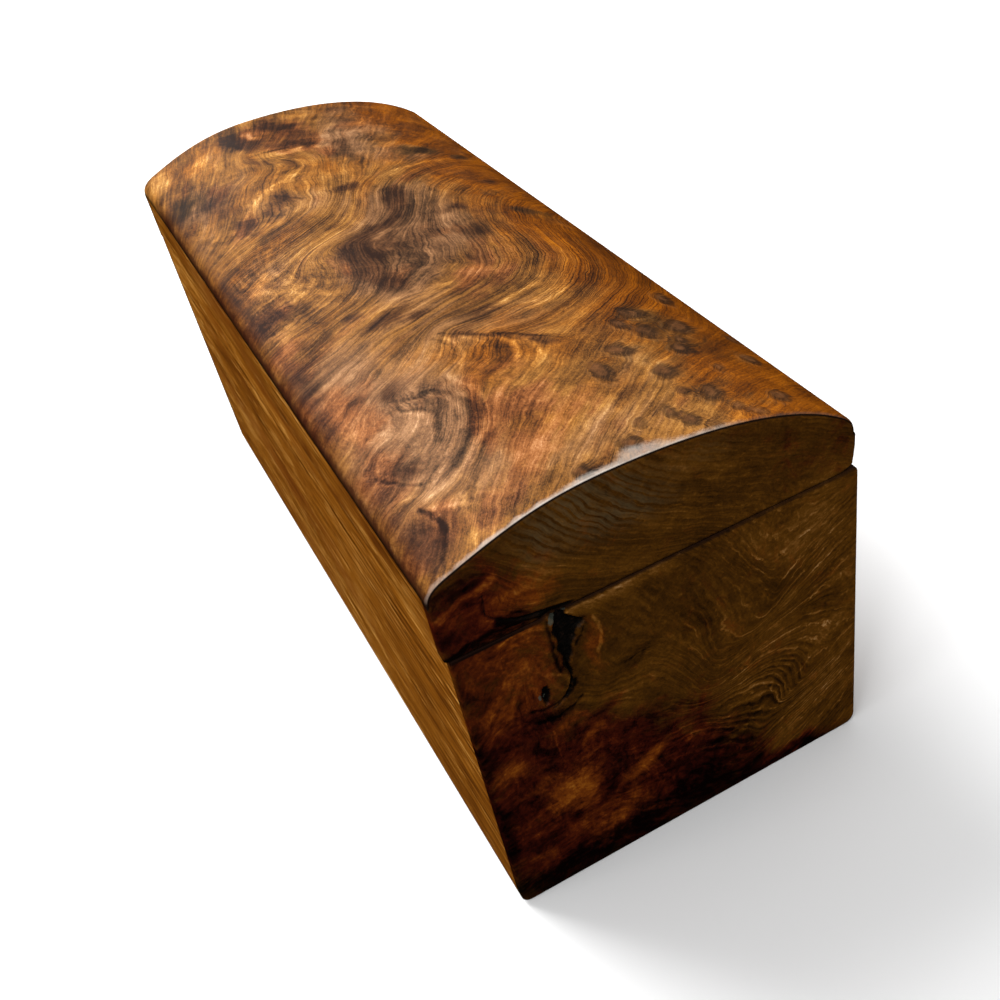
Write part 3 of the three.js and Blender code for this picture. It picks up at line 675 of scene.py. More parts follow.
TOP_LIGHT = [
    (345, 640, 14, 8, 0, 0.8), (230, 606, 14, 5, -14, 0.9), (296, 518, 7, 6, 0, 0.8), (316, 735, 9, 14, 0, 0.5), (176, 833, 6, 8, 0, 0.9), (180, 800, 50, 6, 8, 0.6), (60, 1000, 40, 40, 0, 0.3), (100, 900, 50, 40, 0, 0.3),
    (221, 202, 44, 8, 22, 1.0), (198, 94, 8, 18, 0, 0.8), (30, 80, 20, 26, 0, 0.6), (104, 92, 12, 44, 28, 0.7), (212, 250, 9, 30, -20, 0.8), (190, 318, 32, 9, -30, 0.9), (120, 352, 30, 9, -50, 0.7),
    (316, 295, 9, 14, 0, 0.8), (368, 147, 16, 14, 0, 0.5), (389, 58, 14, 14, 0, 0.6), (268, 48, 20, 10, 30, 0.7), (60, 360, 20, 30, 0, 0.5), (30, 320, 18, 14, 0, 0.5), (100, 190, 20, 16, 0, 0.5),
    (53, 720, 22, 26, 0, 0.7), (104, 714, 14, 20, 0, 0.6), (150, 548, 60, 12, -14, 0.7), (226, 500, 10, 34, 18, 0.7), (120, 500, 40, 8, -6, 0.5), (60, 455, 50, 9, -14, 0.7), (150, 440, 40, 8, -10, 0.5),
    (60, 590, 10, 70, -32, 0.6), (210, 640, 10, 14, 0, 0.6), (480, 655, 14, 8, 30, 0.7), (60, 830, 50, 22, 0, 0.5), (160, 790, 70, 9, 4, 0.6), (100, 870, 60, 14, -4, 0.4),
    (205, 235, 42, 12, 50, 0.5), (170, 312, 64, 14, -34, 0.5), (194, 84, 24, 7, 75, 0.6), (30, 88, 34, 50, 0, 0.55), (112, 95, 60, 14, -60, 0.6),
    (214, 628, 8, 9, 0, 0.7), (224, 646, 7, 5, 0, 0.6), (201, 714, 6, 9, 0, 0.6), (250, 607, 26, 5, -14, 0.8), (200, 935, 12, 20, 0, 0.6), (240, 962, 22, 9, 40, 0.5), (272, 1012, 28, 11, -40, 0.6),
    (262, 455, 9, 40, 20, 0.8), (330, 400, 36, 7, -22, 0.8), (405, 370, 40, 7, -18, 0.6), (441, 765, 6, 50, 4, 0.6),
    (420, 840, 6, 24, 25, 0.5), (300, 878, 46, 6, -16, 0.8), (345, 898, 42, 6, -26, 0.7), (97, 95, 7, 56, 20, 0.6),
    (225, 207, 36, 9, 10, 0.7), (172, 372, 6, 28, -35, 0.6), (120, 1128, 34, 8, -38, 0.9), (78, 1172, 20, 6, 40, 0.8),
    (60, 540, 26, 30, 0, 0.2), (105, 530, 10, 36, 25, 0.45), (40, 600, 12, 40, 25, 0.4), (75, 650, 12, 30, 25, 0.4),
    (120, 500, 30, 12, 0, 0.4), (60, 430, 36, 26, 0, 0.4), (120, 440, 20, 30, 10, 0.4), (200, 395, 24, 34, 15, 0.4),
    (255, 620, 10, 30, 10, 0.4), (262, 720, 12, 50, 8, 0.45), (340, 700, 10, 44, 6, 0.35), (390, 680, 8, 50, 4, 0.45),
    (418, 720, 7, 60, 4, 0.5), (360, 820, 30, 8, -35, 0.5), (250, 1000, 40, 26, -30, 0.5), (215, 1060, 40, 40, -40, 0.35),
    (150, 1180, 46, 36, -40, 0.4), (280, 1160, 60, 34, -40, 0.35), (240, 1225, 60, 14, -10, 0.5), (80, 1240, 40, 10, 0, 0.7),
    (175, 930, 26, 16, -20, 0.4), (60, 1000, 16, 30, 30, 0.4), (220, 790, 16, 22, 0, 0.35), (310, 640, 8, 40, 5, 0.3),
    (300, 250, 20, 60, 15, 0.3), (385, 120, 12, 60, 25, 0.3), (205, 30, 20, 24, 0, 0.35), (130, 170, 10, 40, 20, 0.4),
    (330, 310, 16, 40, 20, 0.3), (420, 260, 12, 40, 30, 0.3), (470, 700, 12, 90, 4, 0.35), (20, 780, 16, 30, 0, 0.25),
    (130, 830, 20, 10, 0, 0.3), (60, 960, 20, 12, 0, 0.3), (365, 1010, 20, 14, -30, 0.3),
]
TOP_RED = [
    (30, 950, 36, 240, 0, 0.7), (190, 1150, 110, 60, -35, 0.5), (240, 90, 60, 60, 0, 0.6), (250, 165, 30, 50, 0, 0.8), (380, 420, 60, 26, -20, 0.7), (100, 394, 30, 30, 0, 0.5),
    (185, 1105, 34, 54, 10, 0.9), (215, 152, 62, 20, 48, 0.8), (32, 655, 34, 34, 0, 0.8), (30, 1190, 36, 50, 0, 0.5), (130, 1200, 60, 34, -20, 0.5),
    (300, 800, 60, 46, -30, 0.8), (330, 690, 30, 60, 8, 0.6), (60, 770, 60, 36, 0, 0.5), (200, 720, 26, 60, 0, 0.4),
    (320, 250, 60, 60, 0, 0.4), (230, 150, 60, 60, 0, 0.5), (120, 220, 40, 60, 10, 0.5), (400, 760, 20, 60, 0, 0.4),
    (150, 640, 20, 60, 0, 0.5), (200, 1000, 60, 50, -30, 0.5), (420, 110, 60, 80, 20, 0.5), (60, 250, 40, 80, 0, 0.3),
]
TOP_DARK_LINES = [
    ([(100, 1000), (120, 1020), (126, 1050), (110, 1082)], 4.0, 0.6), ([(128, 990), (156, 1020), (160, 1060), (142, 1100), (104, 1128)], 5.0, 0.6), ([(55, 1062), (75, 1085), (92, 1088)], 4.0, 0.5),
    ([(66, 1040), (88, 1034), (98, 1012)], 3.4, 0.5), ([(178, 905), (190, 930), (188, 955), (172, 978)], 3.0, 0.6), ([(212, 915), (236, 945), (234, 978), (218, 1005)], 3.0, 0.6),
    ([(246, 955), (262, 985), (258, 1010), (240, 1032)], 3.0, 0.6), ([(268, 985), (284, 1004), (280, 1030)], 3.0, 0.5), ([(172, 190), (200, 222), (222, 262), (214, 290)], 3.4, 0.7),
    ([(168, 178), (205, 186), (262, 205)], 3.4, 0.6), ([(120, 380), (135, 350), (148, 338)], 3.4, 0.6), ([(150, 345), (172, 372), (188, 400)], 4.0, 0.7), ([(138, 62), (160, 90), (172, 130)], 6.0, 0.6),
    ([(250, 405), (236, 445), (214, 480), (184, 508), (140, 522)], 2.6, 0.6), ([(60, 960), (100, 972), (130, 1000)], 3.4, 0.5),
    ([(232, 715), (243, 745), (240, 768)], 1.8, 0.45), ([(250, 950), (270, 975), (300, 992)], 2.6, 0.7),
    ([(85, 730), (100, 755), (125, 752), (150, 742)], 2.6, 0.6), ([(0, 775), (40, 780), (70, 775), (90, 760)], 2.4, 0.5),
    ([(32, 1065), (50, 1100), (65, 1120)], 3.4, 0.8), ([(50, 1150), (60, 1175), (58, 1200), (45, 1225), (30, 1245)], 3.6, 0.9),
    ([(297, 620), (297, 680), (300, 740), (310, 790)], 2.2, 0.45),
    ([(190, 900), (215, 925), (250, 950), (275, 978), (300, 1000)], 3.0, 0.7), ([(172, 180), (200, 185), (240, 196)], 2.4, 0.6),
    ([(120, 985), (127, 1010), (124, 1040), (112, 1067), (95, 1086)], 2.2, 0.5),
    ([(150, 795), (175, 806), (205, 800)], 2.6, 0.8), ([(205, 862), (250, 862), (292, 850), (325, 830), (350, 795)], 2.0, 0.4),
    ([(225, 905), (265, 905), (310, 890), (350, 868), (385, 835)], 2.0, 0.5), ([(258, 375), (245, 405), (235, 440), (216, 472), (190, 500)], 2.4, 0.45),
    ([(160, 730), (178, 695), (182, 650), (182, 610)], 2.4, 0.6), ([(128, 150), (142, 110), (155, 70), (165, 30)], 2.2, 0.4),
    ([(205, 320), (222, 295), (228, 270), (220, 248), (200, 230), (188, 205)], 2.2, 0.45),
]
TOP_LIGHT_LINES = [
    ([(92, 1000), (112, 1022), (116, 1050), (98, 1078), (76, 1096)], 4.0, 0.7), ([(40, 1000), (62, 1016), (80, 1008), (84, 985)], 5.0, 0.6),
    ([(70, 1128), (95, 1122), (122, 1100), (140, 1068)], 3.6, 0.7), ([(40, 1120), (66, 1138), (86, 1140)], 4.0, 0.6), ([(30, 1075), (50, 1100), (62, 1122)], 3.4, 0.6),
    ([(62, 1175), (76, 1165), (92, 1172), (84, 1215), (66, 1250)], 5.0, 0.7), ([(22, 1165), (34, 1190), (30, 1220)], 4.0, 0.5),
    ([(190, 915), (200, 935), (196, 960), (182, 985)], 3.4, 0.8), ([(208, 925), (224, 950), (220, 978), (204, 1000)], 3.4, 0.7), ([(232, 948), (250, 975), (246, 1000), (228, 1022)], 3.4, 0.8),
    ([(256, 975), (270, 995), (264, 1022), (246, 1042)], 3.4, 0.6), ([(300, 900), (330, 895), (360, 876), (384, 850)], 3.0, 0.7), ([(270, 955), (300, 958), (336, 940), (366, 915)], 2.6, 0.6),
    ([(182, 205), (212, 232), (232, 262), (226, 292), (196, 312)], 4.0, 0.6), ([(100, 375), (118, 350), (150, 322), (190, 310)], 4.0, 0.6), ([(250, 400), (262, 372), (270, 340), (264, 300)], 3.0, 0.5),
    ([(20, 545), (50, 580), (80, 620), (108, 668), (122, 690)], 7.0, 0.6), ([(55, 552), (84, 590), (110, 640)], 5.0, 0.4), ([(150, 545), (190, 530), (222, 506), (240, 470)], 3.0, 0.5),
    ([(100, 780), (150, 770), (200, 790), (250, 795)], 4.0, 0.6),
    ([(100, 985), (138, 1008), (150, 1048), (134, 1088), (98, 1112)], 4.5, 0.7), ([(160, 985), (182, 1040), (166, 1095), (120, 1140)], 5.0, 0.7), ([(108, 1010), (122, 1042), (104, 1075), (80, 1092)], 3.4, 0.6),
    ([(270, 452), (284, 430), (310, 408), (337, 392), (370, 382), (402, 374), (437, 360)], 5.0, 0.6), ([(252, 500), (262, 470), (278, 440)], 4.0, 0.4),
    ([(445, 700), (441, 760), (432, 810), (415, 850)], 2.6, 0.8), ([(255, 890), (300, 875), (345, 852)], 2.4, 0.9),
    ([(300, 915), (350, 895), (390, 860)], 2.4, 0.8), ([(340, 250), (410, 247)], 1.6, 0.5),
    ([(150, 1105), (120, 1132), (90, 1144), (60, 1143)], 4.0, 1.0), ([(60, 1158), (95, 1190)], 3.4, 0.8),
    ([(345, 1110), (315, 1150)], 1.6, 0.6), ([(155, 350), (190, 395)], 3.4, 0.6), ([(75, 150), (120, 40)], 5.0, 0.6),
]
TOP_ASH = [
    (385, 130, 80, 110, 0, 0.9), (300, 225, 40, 60, 0, 0.8), (310, 300, 40, 50, 0, 0.5), (60, 340, 60, 60, 0, 0.4), (95, 250, 50, 40, 0, 0.5),
    (100, 1050, 80, 100, 10, 1.2), (60, 900, 60, 60, 0, 0.7), (60, 830, 60, 40, 0, 0.6), (250, 640, 60, 120, 10, 1.0), (195, 700, 50, 90, 0, 0.9),
    (310, 490, 60, 60, 20, 0.7), (400, 330, 60, 50, -20, 0.7), (60, 540, 70, 80, 0, 0.5), (200, 880, 60, 60, -20, 0.6), (290, 930, 60, 40, -30, 0.5),
    (50, 220, 40, 60, 0, 0.6), (120, 1180, 60, 50, -40, 0.4), (240, 1200, 90, 40, -20, 0.6), (340, 1080, 60, 60, 0, 0.4), (180, 420, 60, 60, 0, 0.5),
    (330, 640, 40, 80, 10, 0.7), (150, 120, 40, 60, 20, 0.4), (40, 680, 50, 50, 0, 0.5),
]
TOP_OLIVE = [
    (30, 208, 36, 40, 0, 1.0), (395, 314, 34, 27, -20, 1.0), (410, 1045, 44, 60, 20, 0.8), (330, 1090, 40, 50, 10, 0.35), (405, 978, 26, 26, 0, 0.7),
    (470, 1110, 24, 26, 0, 0.4), (300, 560, 30, 60, 20, 0.3), (420, 1210, 60, 20, -20, 0.35), (480, 640, 30, 60, 10, 0.3), (350, 430, 60, 40, -20, 0.3),
    (440, 870, 60, 50, -40, 0.3), (290, 300, 24, 40, 20, 0.5), (60, 380, 30, 30, 0, 0.3), (360, 1160, 40, 30, 0, 0.3), (460, 350, 24, 20, 0, 0.6),
    (350, 660, 34, 50, 0, 0.4), (320, 760, 30, 40, 0, 0.4), (430, 530, 26, 26, 0, 0.5), (445, 612, 26, 24, 0, 0.6), (120, 860, 80, 40, 0, 0.3),
]
TOP_GILD = [
    (235, 955, 66, 66, 0, 0.9), (110, 100, 50, 70, 0, 0.5), (170, 320, 90, 70, -20, 0.4), (70, 490, 80, 60, 0, 0.45), (30, 600, 40, 90, 0, 0.3),
    (300, 330, 80, 80, 0, 0.3), (330, 1000, 60, 50, -30, 0.4), (330, 130, 70, 80, 0, 0.4), (270, 450, 20, 50, 20, 0.4),
]
TOP_WORN = [
    (262, 1244, 26, 8, 0, 0.9), (246, 1238, 12, 8, 0, 0.6), (190, 1249, 16, 5, 0, 0.6), (300, 1251, 60, 5, 0, 0.7), (90, 1252, 80, 4, 0, 0.7), (215, 1250, 40, 5, 0, 0.8), 
]
TOP_CRISP = [
    (150, 560, 70, 60, 0, 0.6), (310, 660, 60, 90, 0, 0.3), (230, 700, 60, 60, 0, 0.25), (420, 820, 90, 120, 0, 0.8), (120, 480, 120, 90, 0, 0.7), (230, 940, 60, 60, 0, 0.45), (430, 560, 90, 150, 0, 0.5),
    (180, 290, 90, 90, 0, 0.3), (300, 430, 80, 60, 0, 0.4), (90, 730, 90, 60, 0, 0.5), (420, 940, 80, 60, -40, 0.5), (130, 1050, 40, 70, 0, 0.3),
]
# eyes of the burl: column, row, half width, half height, lean, depth
TOP_EYES = [
    (300, 1095, 12, 21, -5, 1.0), (341, 1060, 13, 18, 12, 1), (357, 1126, 14, 17, -30, 1), (401, 978, 16, 17, 40, 1.0), (437, 1028, 17, 25, -28, 1.0),
    (474, 933, 12, 22, -10, 1), (405, 1083, 12, 14, -30, 1.0), (479, 1115, 12, 13, -20, 0.97), (376, 1188, 12, 18, -20, 1), (317, 1200, 8, 14, 0, 0.92),
    (328, 1226, 10, 14, -15, 1), (448, 1212, 11, 14, -30, 0.92), (255, 1229, 11, 13, -30, 1), (197, 1241, 10, 12, 0, 1), (391, 1030, 14, 20, 10, 0.92),
    (372, 1003, 10, 15, 10, 1), (499, 1050, 8, 14, 0, 0.72), (418, 1060, 9, 11, 0, 0.92), (420, 1136, 8, 11, -20, 0.72), (402, 1240, 9, 9, 0, 0.72),
    (352, 1172, 8, 9, 10, 0.8), (386, 1222, 8, 9, -20, 0.8), (280, 1205, 7, 10, 0, 0.6), (345, 1245, 8, 8, 0, 0.7),
]


# ---------------------------------------------------------------- the pieces
pieces = {}


def skew(ob):
    """The lid sits a little askew: its front edge stands proud at the near end and nearly flush at the far end."""
    p = coords_mm(ob)
    k = np.clip((-30.0 - p[:, 0]) / 11.0, 0, 1) * (p[:, 1] + L_END) / (2 * L_END)
    p[:, 0] += 0.6 * k
    ob.data.vertices.foreach_set("co", (p * 0.001).ravel())
    ob.data.update()


def stand_in(ob, node, body):
    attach(ob, body)
    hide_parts(node)
    pieces[node] = ob
    return ob


def top_skin():
    """The burl skin: rings over the dome, rounded to half way at both arches, then mitred in under itself."""
    outer = resample(np.vstack([[[LXL, dome_z(LXL, SKIN_T)[0]]], DOME_SOFT, [[LXR, dome_z(LXR, SKIN_T)[0]]]]), 0.55)
    n = len(outer)
    m_under = 60
    pick = np.linspace(0, n - 1, m_under)
    ux = np.interp(pick, np.arange(n), outer[:, 0])
    under = np.c_[ux, dome_z(ux, SKIN_T)]
    keep = 1 - math.sqrt(0.5)
    y_flat = L_END - ARCH_R
    mid = np.r_[np.arange(-y_flat, -48.0, 0.5), np.linspace(-48.0, y_flat, 236)]
    turn = np.radians(np.linspace(0, 45, 7))[1:]
    ys = np.r_[-(y_flat + ARCH_R * np.sin(turn))[::-1], mid, y_flat + ARCH_R * np.sin(turn)]
    off = np.r_[(ARCH_R * (1 - np.cos(turn)))[::-1], np.zeros(len(mid)), ARCH_R * (1 - np.cos(turn))]
    y_last = L_END - keep * ARCH_R
    g = np.gradient(outer, axis=0)
    g /= np.linalg.norm(g, axis=1)[:, None]
    g[0], g[-1] = (0, 1), (0, -1)
    side = np.c_[g[:, 1], -g[:, 0]]
    rings = []
    for y, o in zip(ys, off):
        ring = outer + side * o
        t = min(0.985, max(0.0, (abs(y) - L_CORE) / (y_last - L_CORE)))
        low = np.c_[np.interp(pick, np.arange(n), ring[:, 0]), np.interp(pick, np.arange(n), ring[:, 1])]
        low = under * (1 - t) + low * t
        sec = np.vstack([ring[::-1], low])
        rings.append(np.c_[sec[:, 0], np.full(len(sec), y), sec[:, 1]])
    k, c = len(rings), len(rings[0])
    v = np.vstack(rings)
    a = (np.arange(k - 1)[:, None] * c + np.arange(c)[None]).ravel()
    b = (np.arange(k - 1)[:, None] * c + (np.arange(c)[None] + 1) % c).ravel()
    faces = np.c_[a, b, b + c, a + c].tolist()
    faces.append(list(reversed(range(c))))
    faces.append([(k - 1) * c + i for i in range(c)])
    ob = new_mesh("top_skin", v, faces, sharp_deg=40)
    fix_normals(ob)
    return ob


skin = top_skin()
stand_in(skin, "lid_top_burl", "lid")

# burl facings on the ends
bx = np.linspace(XL, XR, 500)
body_edge = resample(np.vstack([np.c_[bx, body_lo(bx)], np.c_[bx[::-1], body_hi(bx[::-1])], [[XL, FOOT_F]]]), 0.4)
lx = np.linspace(LXL, LXR, 500)
lid_low_edge = resample(np.vstack([[[LXL, 80.0]], np.c_[lx, lid_lo(lx)], [[LXR, 75.5]]]), 0.4)
arch_edge = resample(DOME_SOFT, 0.4)


def end_c(x):
    return (x + 44.25) / 0.16


def end_r(z):
    return (96.0 - z) / 0.16


def end_xz(pts):
    p = np.array(pts, float)
    return np.c_[p[:, 0] * 0.16 - 44.25, 96.0 - p[:, 1] * 0.16]


VOID = end_xz([(136, 170), (158, 170), (157, 180), (164, 188), (175, 196), (176, 203), (165, 209), (163, 218), (157, 226), (156, 238), (150, 249),
               (152, 262), (150, 277), (145, 289), (137, 298), (126, 304), (114, 305), (113, 302), (124, 300), (134, 292),
               (141, 282), (145, 270), (143, 259), (139, 250), (141, 236), (136, 226), (139, 210), (134, 197), (139, 184), (134, 176)])
HOLE = end_xz([(110, 268), (114, 263), (119, 264), (122, 272), (121, 284), (117, 293), (111, 295), (109, 288), (108, 278)])
CRACK = end_xz([(40, 120), (60, 112), (75, 110), (74, 124), (73, 135), (84, 149), (105, 159), (135, 165), (160, 170)])


def inside(px, pz, poly):
    res = np.zeros(px.shape, bool)
    q = np.roll(poly, -1, axis=0)
    for (ax, az), (bx_, bz) in zip(poly, q):
        if az == bz:
            continue
        hit = ((az > pz) != (bz > pz)) & (px < (bx_ - ax) * (pz - az) / (bz - az) + ax)
        res ^= hit
    return res


def sunk(px, pz, poly, depth, lip):
    """A pocket with steep walls: depth inside the outline, shelving over lip."""
    d = seg_dist(px, pz, np.vstack([poly, poly[:1]]))
    wob = 0.12 * np.sin(px * 5.1 + pz * 2.3) + 0.1 * np.sin(pz * 7.7 - px * 3.1)
    t = np.clip((d + wob * 0.5) / lip, 0, 1)
    return np.where(inside(px, pz, poly), depth * (t * t * (3 - 2 * t)) * (0.85 + 0.5 * wob), 0.0)


def near_body_relief(px, pz):
    void = sunk(px, pz, VOID, 1.25, 0.75)
    hole = sunk(px, pz, HOLE, 0.8, 0.5)
    c, r = end_c(px), end_r(pz)
    soft = lines(c, r, [([(150, 275), (140, 292), (115, 300), (95, 293)], 3.5, 0.18), ([(155, 305), (140, 315), (110, 318), (95, 310)], 4, 0.15)])
    return np.maximum(np.maximum(void, hole), soft)


def near_lid_relief(px, pz):
    d = seg_dist(px, pz, CRACK)
    along = np.clip((px + 38.0) / 20.0, 0, 1)
    w = 0.25 + 0.45 * along
    crack = (0.14 + 0.34 * along) * np.clip(1 - d / (w * (0.5 + 0.5 * along)), 0, 1) ** 0.7
    mouth = 0.9 * np.clip(1 - np.hypot((px + 21.5) / 2.6, (pz - 68.5) / 1.3), 0, 1) ** 0.6
    return np.maximum(crack, mouth)


for tag, sgn in (("near", -1), ("far", 1)):
    near = sgn < 0
    ob = end_plate(f"{tag}_end_face", XL, XR, body_lo, body_hi, sgn * B_CORE, sgn * B_END, [(body_edge, 0.3)],
                   extra_x=[(-27.2, -15.6, 0.22)] if near else (), extra_z=[(45.5, 68.2, 0.24)] if near else (),
                   relief=near_body_relief if near else None, step=0.36 if near else 0.55)
    stand_in(ob, f"{tag}_end_burl", "box_body")
    ob = end_plate(f"lid_{tag}_end_face", LXL, LXR, lid_lo, lid_hi, sgn * L_CORE, sgn * L_END,
                   [(lid_low_edge, 0.3), (arch_edge, ARCH_R)], mitre=True, step=0.36 if near else 0.5,
                   extra_x=[(-38.5, -17.5, 0.26)] if near else (), relief=near_lid_relief if near else None)
    stand_in(ob, f"lid_{tag}_end_burl", "lid")

# long boards of the body
front_section = np.vstack([
    arc(XL + FOOT_F, FOOT_F, FOOT_F, 180, 270, 16), [[-36.25, 0], [-36.25, 5], [-32.25, 5], [-32.25, SEAM]],
    arc(XL + 0.75, SEAM - 0.75, 0.75, 90, 180, 8),
])
back_section = np.vstack([
    [[36.25, 0]], arc(XR - FOOT_B, FOOT_B, FOOT_B, 270, 360, 16), BODY_BACK_TOP,
    [[32.25, SEAM], [32.25, 5], [36.25, 5]],
])
side_ys = np.linspace(-B_CORE, B_CORE, 40)
front = sweep("front_side", front_section, side_ys)
carve(front, [block("c", -36.25, -31.0, s * 94.25 - 3, s * 94.25 + 4, -1, 100) for s in (-1, 1)])
stand_in(front, "front_board", "box_body")
back = sweep("back_side", back_section, side_ys)


def hinge_cuts(side):
    out = []
    for hy in (-60.0, 60.0):
        z0, z1 = (SEAM - 0.75, SEAM + 2) if side < 0 else (SEAM - 2, SEAM + 0.75)
        out.append(block("c", AXIS_X - 6.25, AXIS_X, hy - 10, hy + 10, z0, z1))
        out.append(bar("c", AXIS_X, SEAM, 1.8125, hy - 10.25, hy + 10.25))
        for sy in (-6.5, 6.5):
            a, b = (SEAM - 5.125, SEAM + 1) if side < 0 else (SEAM - 1, SEAM + 5.125)
            out.append(post("c", AXIS_X - 4.0, hy + sy, a, b, 0.8125, 0.8125))
    return out


carve(back, [block("c", 31.0, 36.25, s * 94.25 - 3, s * 94.25 + 4, -1, 100) for s in (-1, 1)] + hinge_cuts(-1))
stand_in(back, "back_board", "box_body")

# rails and dome board of the lid
R_RAB, R_IN = 35.75, 31.75
front_rail_section = np.vstack([
    arc(LXL + 0.75, SEAM + 0.75, 0.75, 180, 270, 8), [[-33, SEAM]],
    np.c_[np.linspace(-33, -37, 9), dome_z(np.linspace(-33, -37, 9), 6.5)],
    np.c_[np.linspace(-37, LXL, 9), dome_z(np.linspace(-37, LXL, 9), SKIN_T)],
])
back_rail_section = np.vstack([
    [[R_IN, SEAM]], LID_BACK_LOW[:-1],
    np.c_[np.linspace(LXR, R_RAB, 9), dome_z(np.linspace(LXR, R_RAB, 9), SKIN_T)],
    np.c_[np.linspace(R_RAB, R_IN, 9), dome_z(np.linspace(R_RAB, R_IN, 9), 6.5)],
])
lid_ys = np.linspace(-L_CORE, L_CORE, 40)
rail = sweep("lid_front_side", front_rail_section, lid_ys)
carve(rail, [block("c", -37.0, -32.0, s * 93.75 - 3, s * 93.75 + 4, 60, 100) for s in (-1, 1)])
stand_in(rail, "lid_front_rail", "lid")
rail = sweep("lid_back_side", back_rail_section, lid_ys)
carve(rail, [block("c", 30.75, R_RAB, s * 93.75 - 3, s * 93.75 + 4, 60, 100) for s in (-1, 1)] + hinge_cuts(1))
stand_in(rail, "lid_back_rail", "lid")

dome_x = np.linspace(-37, R_RAB, 100)
dome_section = np.vstack([np.c_[dome_x, dome_z(dome_x, 6.5)], np.c_[dome_x[::-1], dome_z(dome_x[::-1], SKIN_T)]])
dome = sweep("dome_lining", dome_section, lid_ys, sharp_deg=40)
stand_in(dome, "lid_dome_board", "lid")


# screws: turned, countersunk and slotted, with a run of thread
def screw(name, cx, cy, z_head, down):
    prof = [(0.0, 0.0), (0.6, -0.005), (1.1, -0.02), (1.2, -0.04), (1.24, -0.08), (1.2, -0.14), (0.95, -0.37), (0.70, -0.60)]
    z = -0.75
    while z > -3.6:
        prof += [(0.54, z), (0.68, z - 0.14), (0.54, z - 0.28)]
        z -= 0.36
    prof += [(0.5, -3.75), (0.3, -4.3), (0.08, -4.68), (0.0, -4.74)]
    k = 36
    ang = np.linspace(0, 2 * math.pi, k, endpoint=False)
    v, f = [(0, 0, 0)], []
    rows = []
    for r, h in prof[1:-1]:
        rows.append(len(v))
        v += [(r * math.cos(t), r * math.sin(t), h) for t in ang]
    v.append((0, 0, prof[-1][1]))
    tip = len(v) - 1
    f += [(0, rows[0] + i, rows[0] + (i + 1) % k) for i in range(k)]
    for a, b in zip(rows[:-1], rows[1:]):
        f += [(a + i, b + i, b + (i + 1) % k, a + (i + 1) % k) for i in range(k)]
    f += [(rows[-1] + i, tip, rows[-1] + (i + 1) % k) for i in range(k)]
    s = 1.0 if down else -1.0
    v = [(cx + x, cy + y * s, z_head + zz * s) for x, y, zz in v]
    ob = new_mesh(name, v, f, sharp_deg=35)
    fix_normals(ob)
    lean = 0.35 if down else -0.5
    cut = new_mesh("c", [(cx + a * math.cos(lean) - b * math.sin(lean), cy + a * math.sin(lean) + b * math.cos(lean), z_head + c * s)
                         for a, b, c in [(-1.5, -0.15, -0.38), (1.5, -0.15, -0.38), (1.5, 0.15, -0.38), (-1.5, 0.15, -0.38),
                                         (-1.5, -0.15, 0.4), (1.5, -0.15, 0.4), (1.5, 0.15, 0.4), (-1.5, 0.15, 0.4)]],
                   [(0, 3, 2, 1), (4, 5, 6, 7), (0, 1, 5, 4), (1, 2, 6, 5), (2, 3, 7, 6), (3, 0, 4, 7)], smooth=False)
    fix_normals(cut)
    carve(ob, [cut], sharp_deg=35)
    return ob


for tag, hy in (("near", -60.0), ("far", 60.0)):
    for part, down, z_head in (("body", True, SEAM - 0.125), ("lid", False, SEAM + 0.125)):
        for i, sy in ((1, -6.5), (2, 6.5)):
            ob = screw(f"{tag}_{part}_screw_{i}", AXIS_X - 4.0, hy + sy, z_head, down)
            stand_in(ob, f"screw_{tag}_{part}_{i}", "box_body" if part == "body" else "lid")


# ---------------------------------------------------------------- figure on the pieces
def top_c(x, z):
    """Column of the drawn figure for a point of the dome."""
    x = np.asarray(x, float)
    xw = (np.clip(x, -38.0, 37.0) + 40.25) / 80.0
    c = 520.0 * (0.5 + np.arcsin((xw - 0.4927) / 1.014) / 1.042)
    drop = np.where(x < -38.0, np.hypot(x + 38.0, z - dome_z(-38.0)[0]), 0.0) * -6.05
    drop = drop + np.where(x > 37.0, np.hypot(x - 37.0, z - dome_z(37.0)[0]), 0.0) * 6.05
    return c + drop


def eye_fields(c, r):
    """Offset from the nearest eye in eye sizes, and how much of an eye is there."""
    best = np.full(c.shape, 1e9)
    ox, oy, depth = np.zeros_like(c), np.zeros_like(c), np.zeros_like(c)
    for ec, er, a, b, lean, k in TOP_EYES:
        lean = math.radians(lean)
        dx, dy = c - ec, r - er
        u = (dx * math.cos(lean) - dy * math.sin(lean)) / a
        v = (dx * math.sin(lean) + dy * math.cos(lean)) / b
        d = np.hypot(u, v)
        m = d < best
        best = np.where(m, d, best)
        ox, oy, depth = np.where(m, u, ox), np.where(m, v, oy), np.where(m, k, depth)
    return ox, oy, np.clip((2.1 - best) / 0.7, 0, 1) * depth


top_fig = Figure(TOP_STROKES, 1.0, -24, 560, -20, 1280, 4.0)
co = coords_mm(skin)
